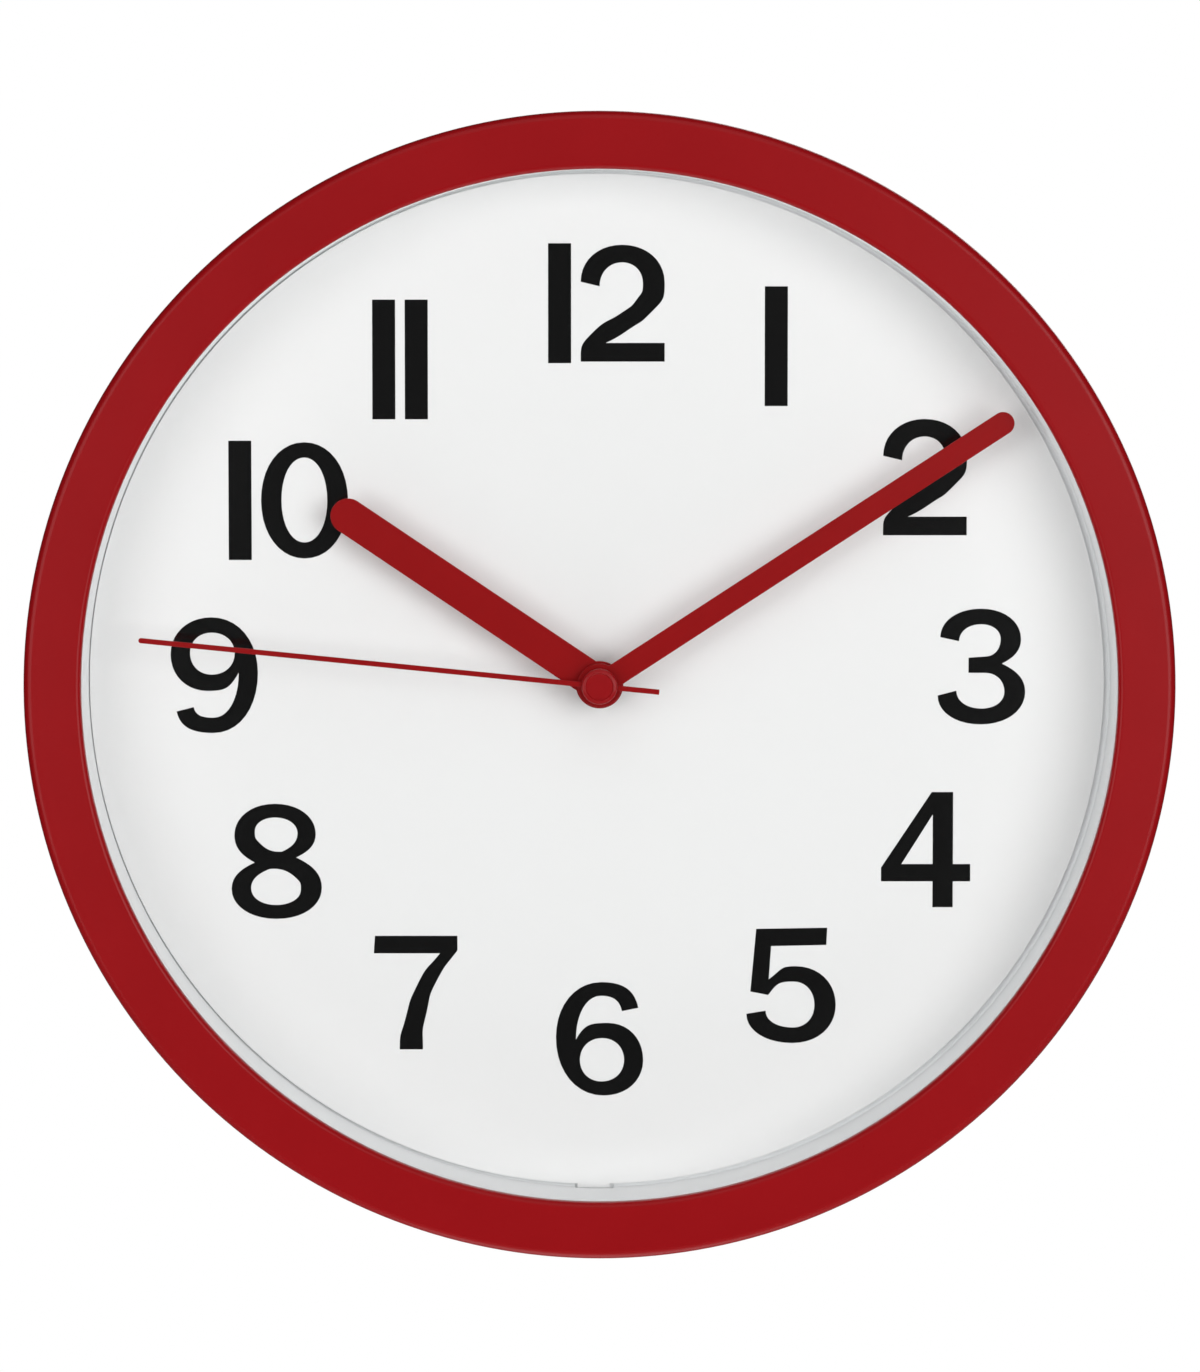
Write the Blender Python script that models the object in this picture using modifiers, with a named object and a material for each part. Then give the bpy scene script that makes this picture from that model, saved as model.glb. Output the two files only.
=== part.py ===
# Wall clock: a moulded case ring, a lens, a dial in a tray, three hands and a quartz movement.
# Every piece is built in the clock's own axes, in millimetres: x to the right of the dial,
# y towards 12 o'clock and z out of the wall. The root empty turns them so that the dial
# faces -Y and the point where the clock hangs is the world origin.

import math

import bmesh
import bpy

MM = 0.001
GAP = 0.3

# case
CASE_RADIUS = 125.0
CASE_DEPTH = 43.5
CASE_WALL = 2.2
LIP_RADIUS = 112.5
LIP_ROUND = 1.2
EDGE_ROUND = 3.2
FLANGE = 2.4
HANG_DROP = 85.0
ROUND_SIDES = 64
FACET_TURN = 90 / ROUND_SIDES

# lens, dial and the pan that holds them
LENS_RADIUS = 115.2
LENS_THICKNESS = 1.4
LENS_BACK = CASE_DEPTH - FLANGE - GAP - LENS_THICKNESS
DIAL_DEPTH = 19.2
DIAL_FRONT = CASE_DEPTH - DIAL_DEPTH
DIAL_THICKNESS = 0.8
DIAL_RADIUS = 111.4
DIAL_SHIFT = -0.6
DIAL_TAB_WIDTH = 7.1
DIAL_TAB_REACH = 0.85
DIAL_TAB_X = -1.3
PAN_FRONT = DIAL_FRONT - DIAL_THICKNESS - GAP
PAN_FLOOR = 2.0
PAN_BACK = PAN_FRONT - PAN_FLOOR
PAN_RADIUS = 121.9
COLLAR_OUTER = 114.4
COLLAR_TOP_RADIUS = 112.5
COLLAR_FOOT_RADIUS = 112.2
COLLAR_TOP = LENS_BACK - GAP
RIB_BACK = PAN_BACK - 5.0

# screws, the same kind in the pan and in the hanger
PAN_SCREWS = 6
SCREW_CIRCLE = 118.2
SCREW_HEAD = 2.5
SCREW_HEAD_HEIGHT = 1.6
SCREW_SHAFT = 1.05
SCREW_LENGTH = 9.6
POST_RADIUS = 2.6
HANGER_POST_RADIUS = 3.2
PILOT_RADIUS = 1.35
HANGER_Y = 80.0
HANGER_X = 14.0
HANGER_BACK = 2.4
HANGER_THICKNESS = 1.2
KEYHOLE_ENTRY = 4.5
KEYHOLE_SLOT = 2.2
KEYHOLE_LENGTH = 9.0

# hands: blade heights are above the wall, angles clockwise from 12
HOUR_ANGLE = 303.95
MINUTE_ANGLE = 56.9
SECOND_ANGLE = 275.7
HOUR_WIDTH = 7.7
HOUR_REACH = 70.0
HOUR_BOSS = 5.2
MINUTE_WIDTH = 5.0
MINUTE_REACH = 107.3
MINUTE_BOSS = 4.8
SECOND_WIDTH = 1.15
SECOND_REACH = 101.0
SECOND_TAIL = 13.1
SECOND_BOSS = 3.3
BLADE = 0.6
HOUR_LEVEL = DIAL_FRONT + 6.5
MINUTE_LEVEL = HOUR_LEVEL + 2.0
SECOND_LEVEL = MINUTE_LEVEL + 2.0
CAP_RADIUS = 3.9
CAP_RIM = 3.35

# movement
MOVEMENT = 28.0
MOVEMENT_BACK = 4.9
MOVEMENT_FRONT = PAN_BACK - GAP
MOVEMENT_WALL = 1.2
MOVEMENT_SKIN = 1.0
SPLIT = 12.9
FLOOR_IN = MOVEMENT_BACK + MOVEMENT_SKIN
ROOF_IN = MOVEMENT_FRONT - MOVEMENT_SKIN
BAY_TOP = -11.4
BAY_WALL = 1.0
BUSH_RADIUS = 3.9
BUSH_BORE = 2.75
BUSH_FRONT = HOUR_LEVEL - 1.3
BATTERY_RADIUS = 7.25
BATTERY_LENGTH = 50.5
BATTERY_Y = -19.15
BATTERY_LEVEL = MOVEMENT_BACK + BATTERY_RADIUS + 0.15
PIVOT = 0.3
BEARING = 0.5

# gear train: centre distances and directions, then the teeth
SECOND_TEETH = 40
CENTRE_TEETH = 64
THIRD_TEETH = 60
INTERMEDIATE_TEETH = 48
MINUTE_TEETH = 30
HOUR_TEETH = 32
CANNON_TEETH = 10
PINION_TEETH = 8
THIRD_DISTANCE = 10.2
INTERMEDIATE_DISTANCE = 9.6
ROTOR_DISTANCE = 6.72
MOTION_DISTANCE = 9.0
THIRD_ANGLE = 60.0
INTERMEDIATE_ANGLE = 150.0
ROTOR_ANGLE = 120.0
MOTION_ANGLE = 170.0
KNOB_ANGLE = 200.0

RED = ("red_plastic", (0.309, 0.0095, 0.0120), 0.38, 0.0)
WHITE = ("white_plastic", (0.80, 0.81, 0.82), 0.45, 0.0)
DIAL_WHITE = ("dial_white", (0.84, 0.85, 0.86), 0.6, 0.0)
CLEAR = ("clear_lens", (0.95, 0.97, 0.98), 0.05, 0.0)
GREY = ("movement_black", (0.02, 0.02, 0.022), 0.5, 0.0)
NATURAL = ("natural_plastic", (0.72, 0.70, 0.64), 0.5, 0.0)
STEEL = ("steel", (0.55, 0.55, 0.56), 0.3, 1.0)
BRASS = ("brass", (0.68, 0.47, 0.19), 0.3, 1.0)
COPPER = ("copper_wire", (0.60, 0.24, 0.10), 0.35, 1.0)
MAGNET = ("magnet", (0.08, 0.08, 0.085), 0.45, 1.0)
BOARD = ("circuit_board", (0.02, 0.13, 0.05), 0.5, 0.0)
RESIN = ("black_resin", (0.015, 0.015, 0.015), 0.35, 0.0)
CELL = ("battery_jacket", (0.03, 0.08, 0.20), 0.35, 0.0)


def clear_scene():
    for obj in list(bpy.data.objects):
        bpy.data.objects.remove(obj)


def new_collection(name):
    collection = bpy.data.collections.new(name)
    bpy.context.scene.collection.children.link(collection)
    return collection


def make_root():
    root = bpy.data.objects.new("clock_axes", None)
    parts.objects.link(root)
    root.location = (0, 0, -HANG_DROP * MM)
    root.rotation_euler = (math.radians(90), 0, 0)
    return root


def material(kind):
    name, colour, roughness, metallic = kind
    found = bpy.data.materials.get(name)
    if found:
        return found
    made = bpy.data.materials.new(name)
    made.use_nodes = True
    shader = made.node_tree.nodes["Principled BSDF"]
    shader.inputs["Base Color"].default_value = (*colour, 1)
    shader.inputs["Roughness"].default_value = roughness
    shader.inputs["Metallic"].default_value = metallic
    made.diffuse_color = (*colour, 1)
    return made


def place(name, mesh, kind, at=(0, 0), turn=0.0):
    """A piece when it has a material, and a hidden cutter when it has none."""
    obj = bpy.data.objects.new(name, mesh)
    obj.parent = root
    obj.location = (at[0] * MM, at[1] * MM, 0)
    obj.rotation_euler = (0, 0, -math.radians(turn))
    if kind:
        parts.objects.link(obj)
        mesh.materials.append(material(kind))
    else:
        cutters.objects.link(obj)
        obj.hide_render = True
        obj.display_type = "WIRE"
    return obj


def turned(name, profile, kind=None, at=(0, 0), sides=24, closed=False):
    """Turns (radius, height) points about z. They run down the outer side and, if closed, up a bore."""
    mesh = bpy.data.meshes.new(name)
    points = [(radius * MM, 0, height * MM) for radius, height in profile]
    edges = [(i, i + 1) for i in range(len(points) - 1)]
    if closed:
        edges.append((len(points) - 1, 0))
    mesh.from_pydata(points, edges, [])
    turn = FACET_TURN if sides == ROUND_SIDES else 0
    obj = place(name, mesh, kind, at, turn)
    screw = obj.modifiers.new("turn", "SCREW")
    screw.steps = sides
    screw.render_steps = sides
    screw.use_merge_vertices = True
    screw.merge_threshold = 0.00001
    screw.use_smooth_shade = True
    return obj


def cylinder(name, radius, low, high, kind=None, at=(0, 0), sides=16):
    return turned(name, [(0, high), (radius, high), (radius, low), (0, low)], kind, at, sides)


def tube(name, outer, inner, low, high, kind=None, at=(0, 0), sides=24):
    profile = [(outer, high), (outer, low), (inner, low), (inner, high)]
    return turned(name, profile, kind, at, sides, closed=True)


def extruded(name, outlines, low, high, kind=None, at=(0, 0), turn=0.0):
    """A flat outline, with any holes as further outlines, between two heights."""
    curve = bpy.data.curves.new(name, "CURVE")
    curve.dimensions = "2D"
    curve.fill_mode = "BOTH"
    curve.extrude = (high - low) / 2 * MM
    for outline in outlines:
        spline = curve.splines.new("POLY")
        spline.points.add(len(outline) - 1)
        for point, (x, y) in zip(spline.points, outline):
            point.co = (x * MM, y * MM, 0, 1)
        spline.use_cyclic_u = True
    guide = bpy.data.objects.new(name, curve)
    bpy.context.scene.collection.objects.link(guide)
    graph = bpy.context.evaluated_depsgraph_get()
    mesh = bpy.data.meshes.new_from_object(guide.evaluated_get(graph))
    bpy.data.objects.remove(guide)
    welded = bmesh.new()
    welded.from_mesh(mesh)
    bmesh.ops.remove_doubles(welded, verts=welded.verts, dist=0.000001)
    bmesh.ops.translate(welded, verts=welded.verts, vec=(0, 0, (low + high) / 2 * MM))
    bmesh.ops.recalc_face_normals(welded, faces=welded.faces)
    welded.to_mesh(mesh)
    welded.free()
    return place(name, mesh, kind, at, turn)


def box(name, low_corner, high_corner, kind=None, turn=0.0):
    mesh = bpy.data.meshes.new(name)
    cube = bmesh.new()
    bmesh.ops.create_cube(cube, size=1)
    size = [high - low for low, high in zip(low_corner, high_corner)]
    middle = [(high + low) / 2 * MM for low, high in zip(low_corner, high_corner)]
    bmesh.ops.scale(cube, verts=cube.verts, vec=[side * MM for side in size])
    bmesh.ops.translate(cube, verts=cube.verts, vec=middle)
    cube.to_mesh(mesh)
    cube.free()
    return place(name, mesh, kind, turn=turn)


def lying(obj, at, level):
    """Turns a piece made along z so that it lies along x, with its start at a place."""
    obj.location = (at[0] * MM, at[1] * MM, level * MM)
    obj.rotation_euler = (0, math.radians(90), 0)
    return obj


def boolean(target, other, operation):
    modifier = target.modifiers.new(other.name, "BOOLEAN")
    modifier.operation = operation
    modifier.object = other


def join(target, *others):
    for other in others:
        boolean(target, other, "UNION")
    return target


def cut(target, *others):
    for other in others:
        boolean(target, other, "DIFFERENCE")
    return target


def arc(centre, radius, start, end, steps):
    """Points on an arc, from one angle in degrees to the other."""
    angles = [math.radians(start + (end - start) * i / steps) for i in range(steps + 1)]
    return [(centre[0] + radius * math.cos(a), centre[1] + radius * math.sin(a)) for a in angles]


def circle(radius, sides, centre=(0, 0)):
    return arc(centre, radius, 0, 360 - 360 / sides, sides - 1)


def rounded_box(left, low, right, high, radius, steps=3):
    corners = [(right - radius, high - radius), (left + radius, high - radius)]
    corners += [(left + radius, low + radius), (right - radius, low + radius)]
    points = []
    for quarter, corner in enumerate(corners):
        points += arc(corner, radius, 90 * quarter, 90 * quarter + 90, steps)
    return points


def polar(radius, degrees, start=(0, 0)):
    angle = math.radians(degrees)
    return (start[0] + radius * math.cos(angle), start[1] + radius * math.sin(angle))


def gear_outline(teeth, module, phase, pinion=False):
    """Six points a pinion tooth, four a wheel tooth. A share is half a tooth's width, in pitches."""
    pitch_radius = teeth * module / 2
    if pinion:
        flank = [(pitch_radius - 1.15 * module, 0.20), (pitch_radius, 0.18)]
        flank.append((pitch_radius + 0.85 * module, 0.07))
    else:
        flank = [(pitch_radius - 1.2 * module, 0.27), (pitch_radius + 0.75 * module, 0.09)]
    pitch = 2 * math.pi / teeth
    points = []
    for tooth in range(teeth):
        middle = phase + tooth * pitch
        sides = [(radius, middle - share * pitch) for radius, share in flank]
        sides += [(radius, middle + share * pitch) for radius, share in reversed(flank)]
        points += [(radius * math.cos(angle), radius * math.sin(angle)) for radius, angle in sides]
    return points


def meshing_phase(driver_phase, driver_teeth, teeth, degrees):
    """The phase that puts a wheel's gap round the driver's tooth, along the line between them."""
    line = math.radians(degrees)
    return line + math.pi + math.pi / teeth - (driver_phase - line) * driver_teeth / teeth


def gear(name, teeth, module, phase, low, high, at, pinion=False, bore=0.0, kind=None):
    outlines = [gear_outline(teeth, module, phase, pinion)]
    if bore:
        outlines.append(circle(bore, 16))
    return extruded(name, outlines, low, high, kind, at)


def arbor(name, radius, low, high, at, kind, front_pivot=True):
    """A shaft whose thin pivots reach into the bearings at both ends."""
    profile = [(radius, high), (radius, low), (PIVOT, low), (PIVOT, low - 1.0), (0, low - 1.0)]
    if front_pivot:
        profile = [(0, high + 0.9), (PIVOT, high + 0.9), (PIVOT, high)] + profile
    else:
        profile = [(0, high)] + profile
    return turned(name, profile, kind, at, sides=12)


def pilot(name, mouth, at):
    """The blind hole that a screw cuts its thread in."""
    return cylinder(name, PILOT_RADIUS, mouth - 1, mouth + SCREW_LENGTH + 0.5, at=at, sides=12)


def make_case_ring():
    face = arc((LIP_RADIUS + LIP_ROUND, CASE_DEPTH - LIP_ROUND), LIP_ROUND, 180, 90, 2)
    edge = arc((CASE_RADIUS - EDGE_ROUND, CASE_DEPTH - EDGE_ROUND), EDGE_ROUND, 90, 0, 3)
    inner = CASE_RADIUS - CASE_WALL
    under = CASE_DEPTH - FLANGE
    back = [(CASE_RADIUS, 0.5), (CASE_RADIUS - 0.5, 0), (inner, 0)]
    inside = [(inner, under - 1.5), (inner - 1.5, under), (LIP_RADIUS, under)]
    profile = face + edge + back + inside
    ring = turned("case_ring", profile, RED, sides=ROUND_SIDES, closed=True)
    post_back = PAN_FRONT + GAP
    for number in range(PAN_SCREWS):
        at = polar(SCREW_CIRCLE, 60 * number)
        join(ring, cylinder(f"case_post_{number}", POST_RADIUS, post_back, under + 1, at=at))
        cut(ring, pilot(f"case_pilot_{number}", post_back, at))


def make_lens():
    front = LENS_BACK + LENS_THICKNESS
    chamfer = 0.2
    profile = [(0, front), (LENS_RADIUS - chamfer, front), (LENS_RADIUS, front - chamfer)]
    profile += [(LENS_RADIUS, LENS_BACK), (0, LENS_BACK)]
    turned("lens", profile, CLEAR, sides=ROUND_SIDES)


def make_dial():
    back = DIAL_FRONT - DIAL_THICKNESS
    middle = (DIAL_SHIFT, 0)
    dial = tube("dial", DIAL_RADIUS, BUSH_RADIUS + 0.7, back, DIAL_FRONT, DIAL_WHITE, middle, ROUND_SIDES)
    half = DIAL_TAB_WIDTH / 2
    reach = -DIAL_RADIUS - DIAL_TAB_REACH
    low = (DIAL_TAB_X - half, reach, back)
    join(dial, box("dial_tab", low, (DIAL_TAB_X + half, reach + 4, DIAL_FRONT)))


def make_pan():
    bush_hole = BUSH_RADIUS + 0.4
    profile = [(COLLAR_OUTER, COLLAR_TOP), (COLLAR_OUTER, PAN_FRONT), (PAN_RADIUS, PAN_FRONT)]
    profile += [(PAN_RADIUS, PAN_BACK), (bush_hole, PAN_BACK), (bush_hole, PAN_FRONT)]
    profile += [(COLLAR_FOOT_RADIUS, PAN_FRONT), (COLLAR_TOP_RADIUS, COLLAR_TOP)]
    pan = turned("dial_pan", profile, WHITE, sides=ROUND_SIDES, closed=True)
    into = PAN_BACK + 0.6
    join(pan, tube("pan_ring_rib", 45.4, 44.0, RIB_BACK + 0.3, into, sides=40))
    fence_out = rounded_box(-29.9, -29.9, 29.9, 29.9, 4)
    fence_in = rounded_box(-28.5, -28.5, 28.5, 28.5, 3)
    join(pan, extruded("pan_fence", [fence_out, fence_in], RIB_BACK + 0.6, into))
    for number in range(PAN_SCREWS):
        rib = box(f"pan_rib_{number}", (44.6, -0.7, RIB_BACK), (113, 0.7, into), turn=60 * number)
        join(pan, rib)
        at = polar(SCREW_CIRCLE, 60 * number)
        cut(pan, cylinder(f"pan_hole_{number}", 1.5, PAN_BACK - 1, PAN_FRONT + 1, at=at, sides=12))
    post_back = HANGER_BACK + HANGER_THICKNESS + GAP
    for side in (-1, 1):
        at = (side * HANGER_X, HANGER_Y)
        join(pan, cylinder(f"hanger_post_{side}", HANGER_POST_RADIUS, post_back, into, at=at))
        cut(pan, pilot(f"hanger_pilot_{side}", post_back, at))
        make_snap_hook(pan, side)
    notch = (DIAL_TAB_X - 4.1, -COLLAR_FOOT_RADIUS - 1.2, PAN_FRONT - 0.1)
    cut(pan, box("pan_notch", notch, (DIAL_TAB_X + 4.4, -COLLAR_FOOT_RADIUS + 2, PAN_FRONT + 2.2)))


def make_snap_hook(pan, side):
    """A springy arm beside the movement, with a barb behind its back edge."""
    barb_front = MOVEMENT_BACK - GAP
    profile = [(28.6, PAN_BACK + 0.6), (30.4, PAN_BACK + 0.6), (30.4, 3.4), (29.4, 2.4)]
    profile += [(28.4, 2.4), (26.6, barb_front - 0.5), (26.6, barb_front), (28.6, barb_front)]
    hook = extruded(f"snap_hook_{side}", [profile], -5, 5)
    hook.rotation_euler = (math.radians(90), 0, 0)
    if side < 0:
        hook.rotation_euler = (math.radians(90), 0, math.radians(180))
    join(pan, hook)


def screw(name, under_head, at):
    """A pan-head screw driven forwards."""
    head_back = under_head - SCREW_HEAD_HEIGHT
    profile = [(0, under_head + SCREW_LENGTH), (SCREW_SHAFT, under_head + SCREW_LENGTH - 1.2)]
    profile += [(SCREW_SHAFT, under_head), (SCREW_HEAD, under_head), (SCREW_HEAD, head_back + 0.7)]
    profile += [(SCREW_HEAD - 0.7, head_back), (0, head_back)]
    turned(name, profile, STEEL, at, sides=12)


def make_screws():
    for number in range(PAN_SCREWS):
        screw(f"pan_screw_{number + 1}", PAN_BACK - GAP, polar(SCREW_CIRCLE, 60 * number))
    for number, side in enumerate((-1, 1)):
        screw(f"hanger_screw_{number + 1}", HANGER_BACK - GAP, (side * HANGER_X, HANGER_Y))


def make_hanger_plate():
    entry = (0, HANG_DROP - KEYHOLE_LENGTH)
    neck = math.degrees(math.asin(KEYHOLE_SLOT / KEYHOLE_ENTRY))
    keyhole = arc(entry, KEYHOLE_ENTRY, 90 + neck, 450 - neck, 14)
    keyhole += arc((0, HANG_DROP), KEYHOLE_SLOT, 0, 180, 8)
    plate = rounded_box(-20, HANGER_Y - 12, 20, HANGER_Y + 12, 3)
    holes = [circle(1.5, 16, (side * HANGER_X, HANGER_Y)) for side in (-1, 1)]
    front = HANGER_BACK + HANGER_THICKNESS
    extruded("hanger_plate", [plate, keyhole, *holes], HANGER_BACK, front, STEEL)


def hand_outline(width, reach, boss, tail=0.0, tip_steps=8):
    """A bar towards 12 with a round tip, a round boss at the axis and a square tail."""
    half = width / 2
    neck = math.degrees(math.asin(half / boss))
    points = arc((0, reach - half), half, 0, 180, tip_steps)
    if tail:
        points += arc((0, 0), boss, 90 + neck, 270 - neck, 8)
        points += [(-half, -tail), (half, -tail)]
        points += arc((0, 0), boss, 270 + neck, 450 - neck, 8)
    else:
        points += arc((0, 0), boss, 90 + neck, 450 - neck, 14)
    return points


def make_hands():
    hour = hand_outline(HOUR_WIDTH, HOUR_REACH, HOUR_BOSS)
    bore = 2.65
    outlines = [hour, circle(bore, 16)]
    hand = extruded("hour_hand", outlines, HOUR_LEVEL, HOUR_LEVEL + BLADE, RED, turn=HOUR_ANGLE)
    join(hand, tube("hour_collar", 3.6, bore, HOUR_LEVEL - 0.9, HOUR_LEVEL + 0.9, sides=16))
    minute = hand_outline(MINUTE_WIDTH, MINUTE_REACH, MINUTE_BOSS)
    bore = 1.75
    outlines = [minute, circle(bore, 16)]
    hand = extruded("minute_hand", outlines, MINUTE_LEVEL, MINUTE_LEVEL + BLADE, RED, turn=MINUTE_ANGLE)
    join(hand, tube("minute_collar", 2.7, bore, MINUTE_LEVEL - 0.7, MINUTE_LEVEL + 0.9, sides=16))
    second = hand_outline(SECOND_WIDTH, SECOND_REACH, SECOND_BOSS, SECOND_TAIL, 4)
    bore = 0.65
    outlines = [second, circle(bore, 12)]
    hand = extruded("second_hand", outlines, SECOND_LEVEL, SECOND_LEVEL + 0.4, RED, turn=SECOND_ANGLE)
    join(hand, tube("second_collar", 1.6, bore, SECOND_LEVEL - 0.4, SECOND_LEVEL + 0.2, sides=12))
    low = SECOND_LEVEL + 0.7
    cap = [(0, low + 1.1), (CAP_RIM, low + 1.1), (CAP_RIM + 0.1, low + 1.35)]
    cap += [(CAP_RADIUS - 0.2, low + 1.35), (CAP_RADIUS, low + 1.1), (CAP_RADIUS, low)]
    cap += [(bore, low), (bore, low + 0.8), (0, low + 0.8)]
    turned("second_cap", cap, RED, sides=24)


def bearing(name, at, low, high, radius=BEARING):
    return cylinder(name, radius, low, high, at=at, sides=12)


def make_movement_front():
    outline = rounded_box(-MOVEMENT, -MOVEMENT, MOVEMENT, MOVEMENT, 3)
    case = extruded("movement_front_case", [outline], SPLIT, MOVEMENT_FRONT, GREY)
    inside = MOVEMENT - MOVEMENT_WALL
    below = SPLIT - 1
    gears = box("front_gear_room", (-inside, BAY_TOP + BAY_WALL, below), (inside, inside, ROOF_IN))
    bay = box("front_bay", (-inside, -inside, below), (inside, BAY_TOP, ROOF_IN))
    cut(case, gears, bay)
    join(case, cylinder("bush", BUSH_RADIUS, ROOF_IN + 0.5, BUSH_FRONT, sides=24))
    join(case, cylinder("minute_wheel_stud", 0.8, 15.9, ROOF_IN + 0.5, at=MINUTE_AT, sides=12))
    cut(case, cylinder("bush_bore", BUSH_BORE, ROOF_IN - 1, BUSH_FRONT + 1, sides=24))
    cut(case, bearing("third_front_bearing", THIRD_AT, ROOF_IN - 1, MOVEMENT_FRONT + 1))
    cut(case, bearing("knob_front_bearing", KNOB_AT, ROOF_IN - 1, MOVEMENT_FRONT + 1))


def make_movement_back():
    outline = rounded_box(-MOVEMENT, -MOVEMENT, MOVEMENT, MOVEMENT, 3)
    top = SPLIT - GAP
    case = extruded("movement_back_case", [outline], MOVEMENT_BACK, top, GREY)
    inside = MOVEMENT - MOVEMENT_WALL
    above = top + 1
    below = MOVEMENT_BACK - 1
    gears = box("back_gear_room", (-inside, BAY_TOP + BAY_WALL, FLOOR_IN), (inside, inside, above))
    bay = box("back_bay", (-inside, -inside, below), (inside, BAY_TOP, above))
    cut(case, gears, bay)
    for number, at in enumerate(PLATE_POSTS):
        join(case, cylinder(f"plate_post_{number}", 1.3, FLOOR_IN - 0.5, top, at=at, sides=12))
    for number, at in enumerate(BOARD_POSTS):
        join(case, cylinder(f"board_post_{number}", 1.0, FLOOR_IN - 0.5, BOARD_BACK - GAP, at=at, sides=12))
    for side in (-1, 1):
        low = (min(side * 25.8, side * inside), BAY_TOP - 0.2, 7.7)
        high = (max(side * 25.8, side * inside), BAY_TOP + BAY_WALL + 0.2, above)
        cut(case, box(f"contact_slot_{side}", low, high))
    for number, at in enumerate(((0, 0), THIRD_AT, INTERMEDIATE_AT, ROTOR_AT)):
        cut(case, bearing(f"back_bearing_{number}", at, below, FLOOR_IN + 0.5))
    cut(case, bearing("knob_hole", KNOB_AT, below, FLOOR_IN + 0.5, 1.4))


def make_middle_plate():
    outline = rounded_box(-25, -8.8, 17, 16.5, 2)
    shaft_hole = circle(0.75, 12)
    third_hole = circle(1.9, 16, THIRD_AT)
    knob_hole = circle(1.4, 16, KNOB_AT)
    bearings = [circle(BEARING, 12, at) for at in (INTERMEDIATE_AT, ROTOR_AT)]
    outlines = [outline, shaft_hole, third_hole, knob_hole, *bearings]
    extruded("middle_plate", outlines, SPLIT, SPLIT + 1.0, NATURAL)


def make_motor():
    x, y = ROTOR_AT
    left, right = x - 8.7, x + 8.7
    body = rounded_box(left, y - 4, right, y + 4, 1)
    stator = extruded("stator", [body, circle(2.8, 24, ROTOR_AT)], STATOR_BACK, STATOR_BACK + 0.6, STEEL)
    core_y = y + 10.4
    for number, start in enumerate((left, right - 3.5)):
        arm = rounded_box(start, y + 3, start + 3.5, core_y + 2, 0.6)
        join(stator, extruded(f"stator_arm_{number}", [arm], STATOR_BACK, STATOR_BACK + 0.6))
    core_back = STATOR_BACK + 0.6 + GAP
    box("coil_core", (left, core_y - 1.4, core_back), (right, core_y + 1.4, core_back + 1.0), STEEL)
    middle = core_back + 0.5
    half = 4.95
    spool = [(3.9, half), (3.9, half - 0.8), (2.3, half - 0.8), (2.3, 0.8 - half), (3.9, 0.8 - half)]
    spool += [(3.9, -half), (1.65, -half), (1.65, half)]
    spool = turned("coil_bobbin", spool, NATURAL, sides=16, closed=True)
    lying(spool, (x, core_y), middle)
    wound = half - 1.1
    lying(tube("coil_winding", 3.5, 2.45, -wound, wound, COPPER, sides=16), (x, core_y), middle)
    arbor_back = FLOOR_IN + 0.3
    rotor = arbor("rotor_pinion", 0.4, arbor_back, SPLIT - GAP, ROTOR_AT, STEEL)
    module = 2 * ROTOR_DISTANCE / (PINION_TEETH + INTERMEDIATE_TEETH)
    phase = meshing_phase(INTERMEDIATE_PHASE, INTERMEDIATE_TEETH, PINION_TEETH, ROTOR_ANGLE)
    join(rotor, gear("rotor_teeth", PINION_TEETH, module, phase, 7.1, 8.5, ROTOR_AT, pinion=True))
    tube("rotor_magnet", 2.4, 0.55, 9.3, 12.0, MAGNET, ROTOR_AT, sides=16)


def make_going_train():
    arbor_back = FLOOR_IN + 0.3
    rotor_module = 2 * ROTOR_DISTANCE / (PINION_TEETH + INTERMEDIATE_TEETH)
    module = 2 * INTERMEDIATE_DISTANCE / (PINION_TEETH + SECOND_TEETH)
    at = INTERMEDIATE_AT
    wheel = arbor("intermediate_wheel", 0.5, arbor_back, SPLIT - GAP, at, NATURAL)
    phase = INTERMEDIATE_PHASE
    join(wheel, gear("intermediate_teeth", INTERMEDIATE_TEETH, rotor_module, phase, 7.4, 8.2, at))
    phase = meshing_phase(0, SECOND_TEETH, PINION_TEETH, INTERMEDIATE_ANGLE)
    join(wheel, gear("intermediate_leaves", PINION_TEETH, module, phase, 7.9, 10.25, at, pinion=True))

    bore = 0.62
    wheel = gear("second_wheel", SECOND_TEETH, module, 0, 9.4, 10.2, (0, 0), bore=bore, kind=NATURAL)
    module = 2 * THIRD_DISTANCE / (PINION_TEETH + THIRD_TEETH)
    leaves = gear("second_leaves", PINION_TEETH, module, 0, 9.9, 12.5, (0, 0), pinion=True, bore=bore)
    join(wheel, leaves)
    high = SECOND_LEVEL + 1.3
    shaft = [(0, high), (0.35, high), (0.5, high - 0.3), (0.5, arbor_back), (PIVOT, arbor_back)]
    shaft += [(PIVOT, arbor_back - 1.0), (0, arbor_back - 1.0)]
    turned("second_shaft", shaft, STEEL, sides=12)

    at = THIRD_AT
    wheel = arbor("third_wheel", 0.5, arbor_back, ROOF_IN - GAP, at, NATURAL)
    phase = meshing_phase(0, PINION_TEETH, THIRD_TEETH, THIRD_ANGLE)
    join(wheel, gear("third_teeth", THIRD_TEETH, module, phase, 11.4, 12.2, at))
    module = 2 * THIRD_DISTANCE / (PINION_TEETH + CENTRE_TEETH)
    phase = meshing_phase(0, CENTRE_TEETH, PINION_TEETH, THIRD_ANGLE)
    join(wheel, gear("third_leaves", PINION_TEETH, module, phase, 11.9, 15.7, at, pinion=True))
    gear("centre_wheel", CENTRE_TEETH, module, 0, 14.6, 15.4, (0, 0), bore=1.35, kind=NATURAL)


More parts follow.
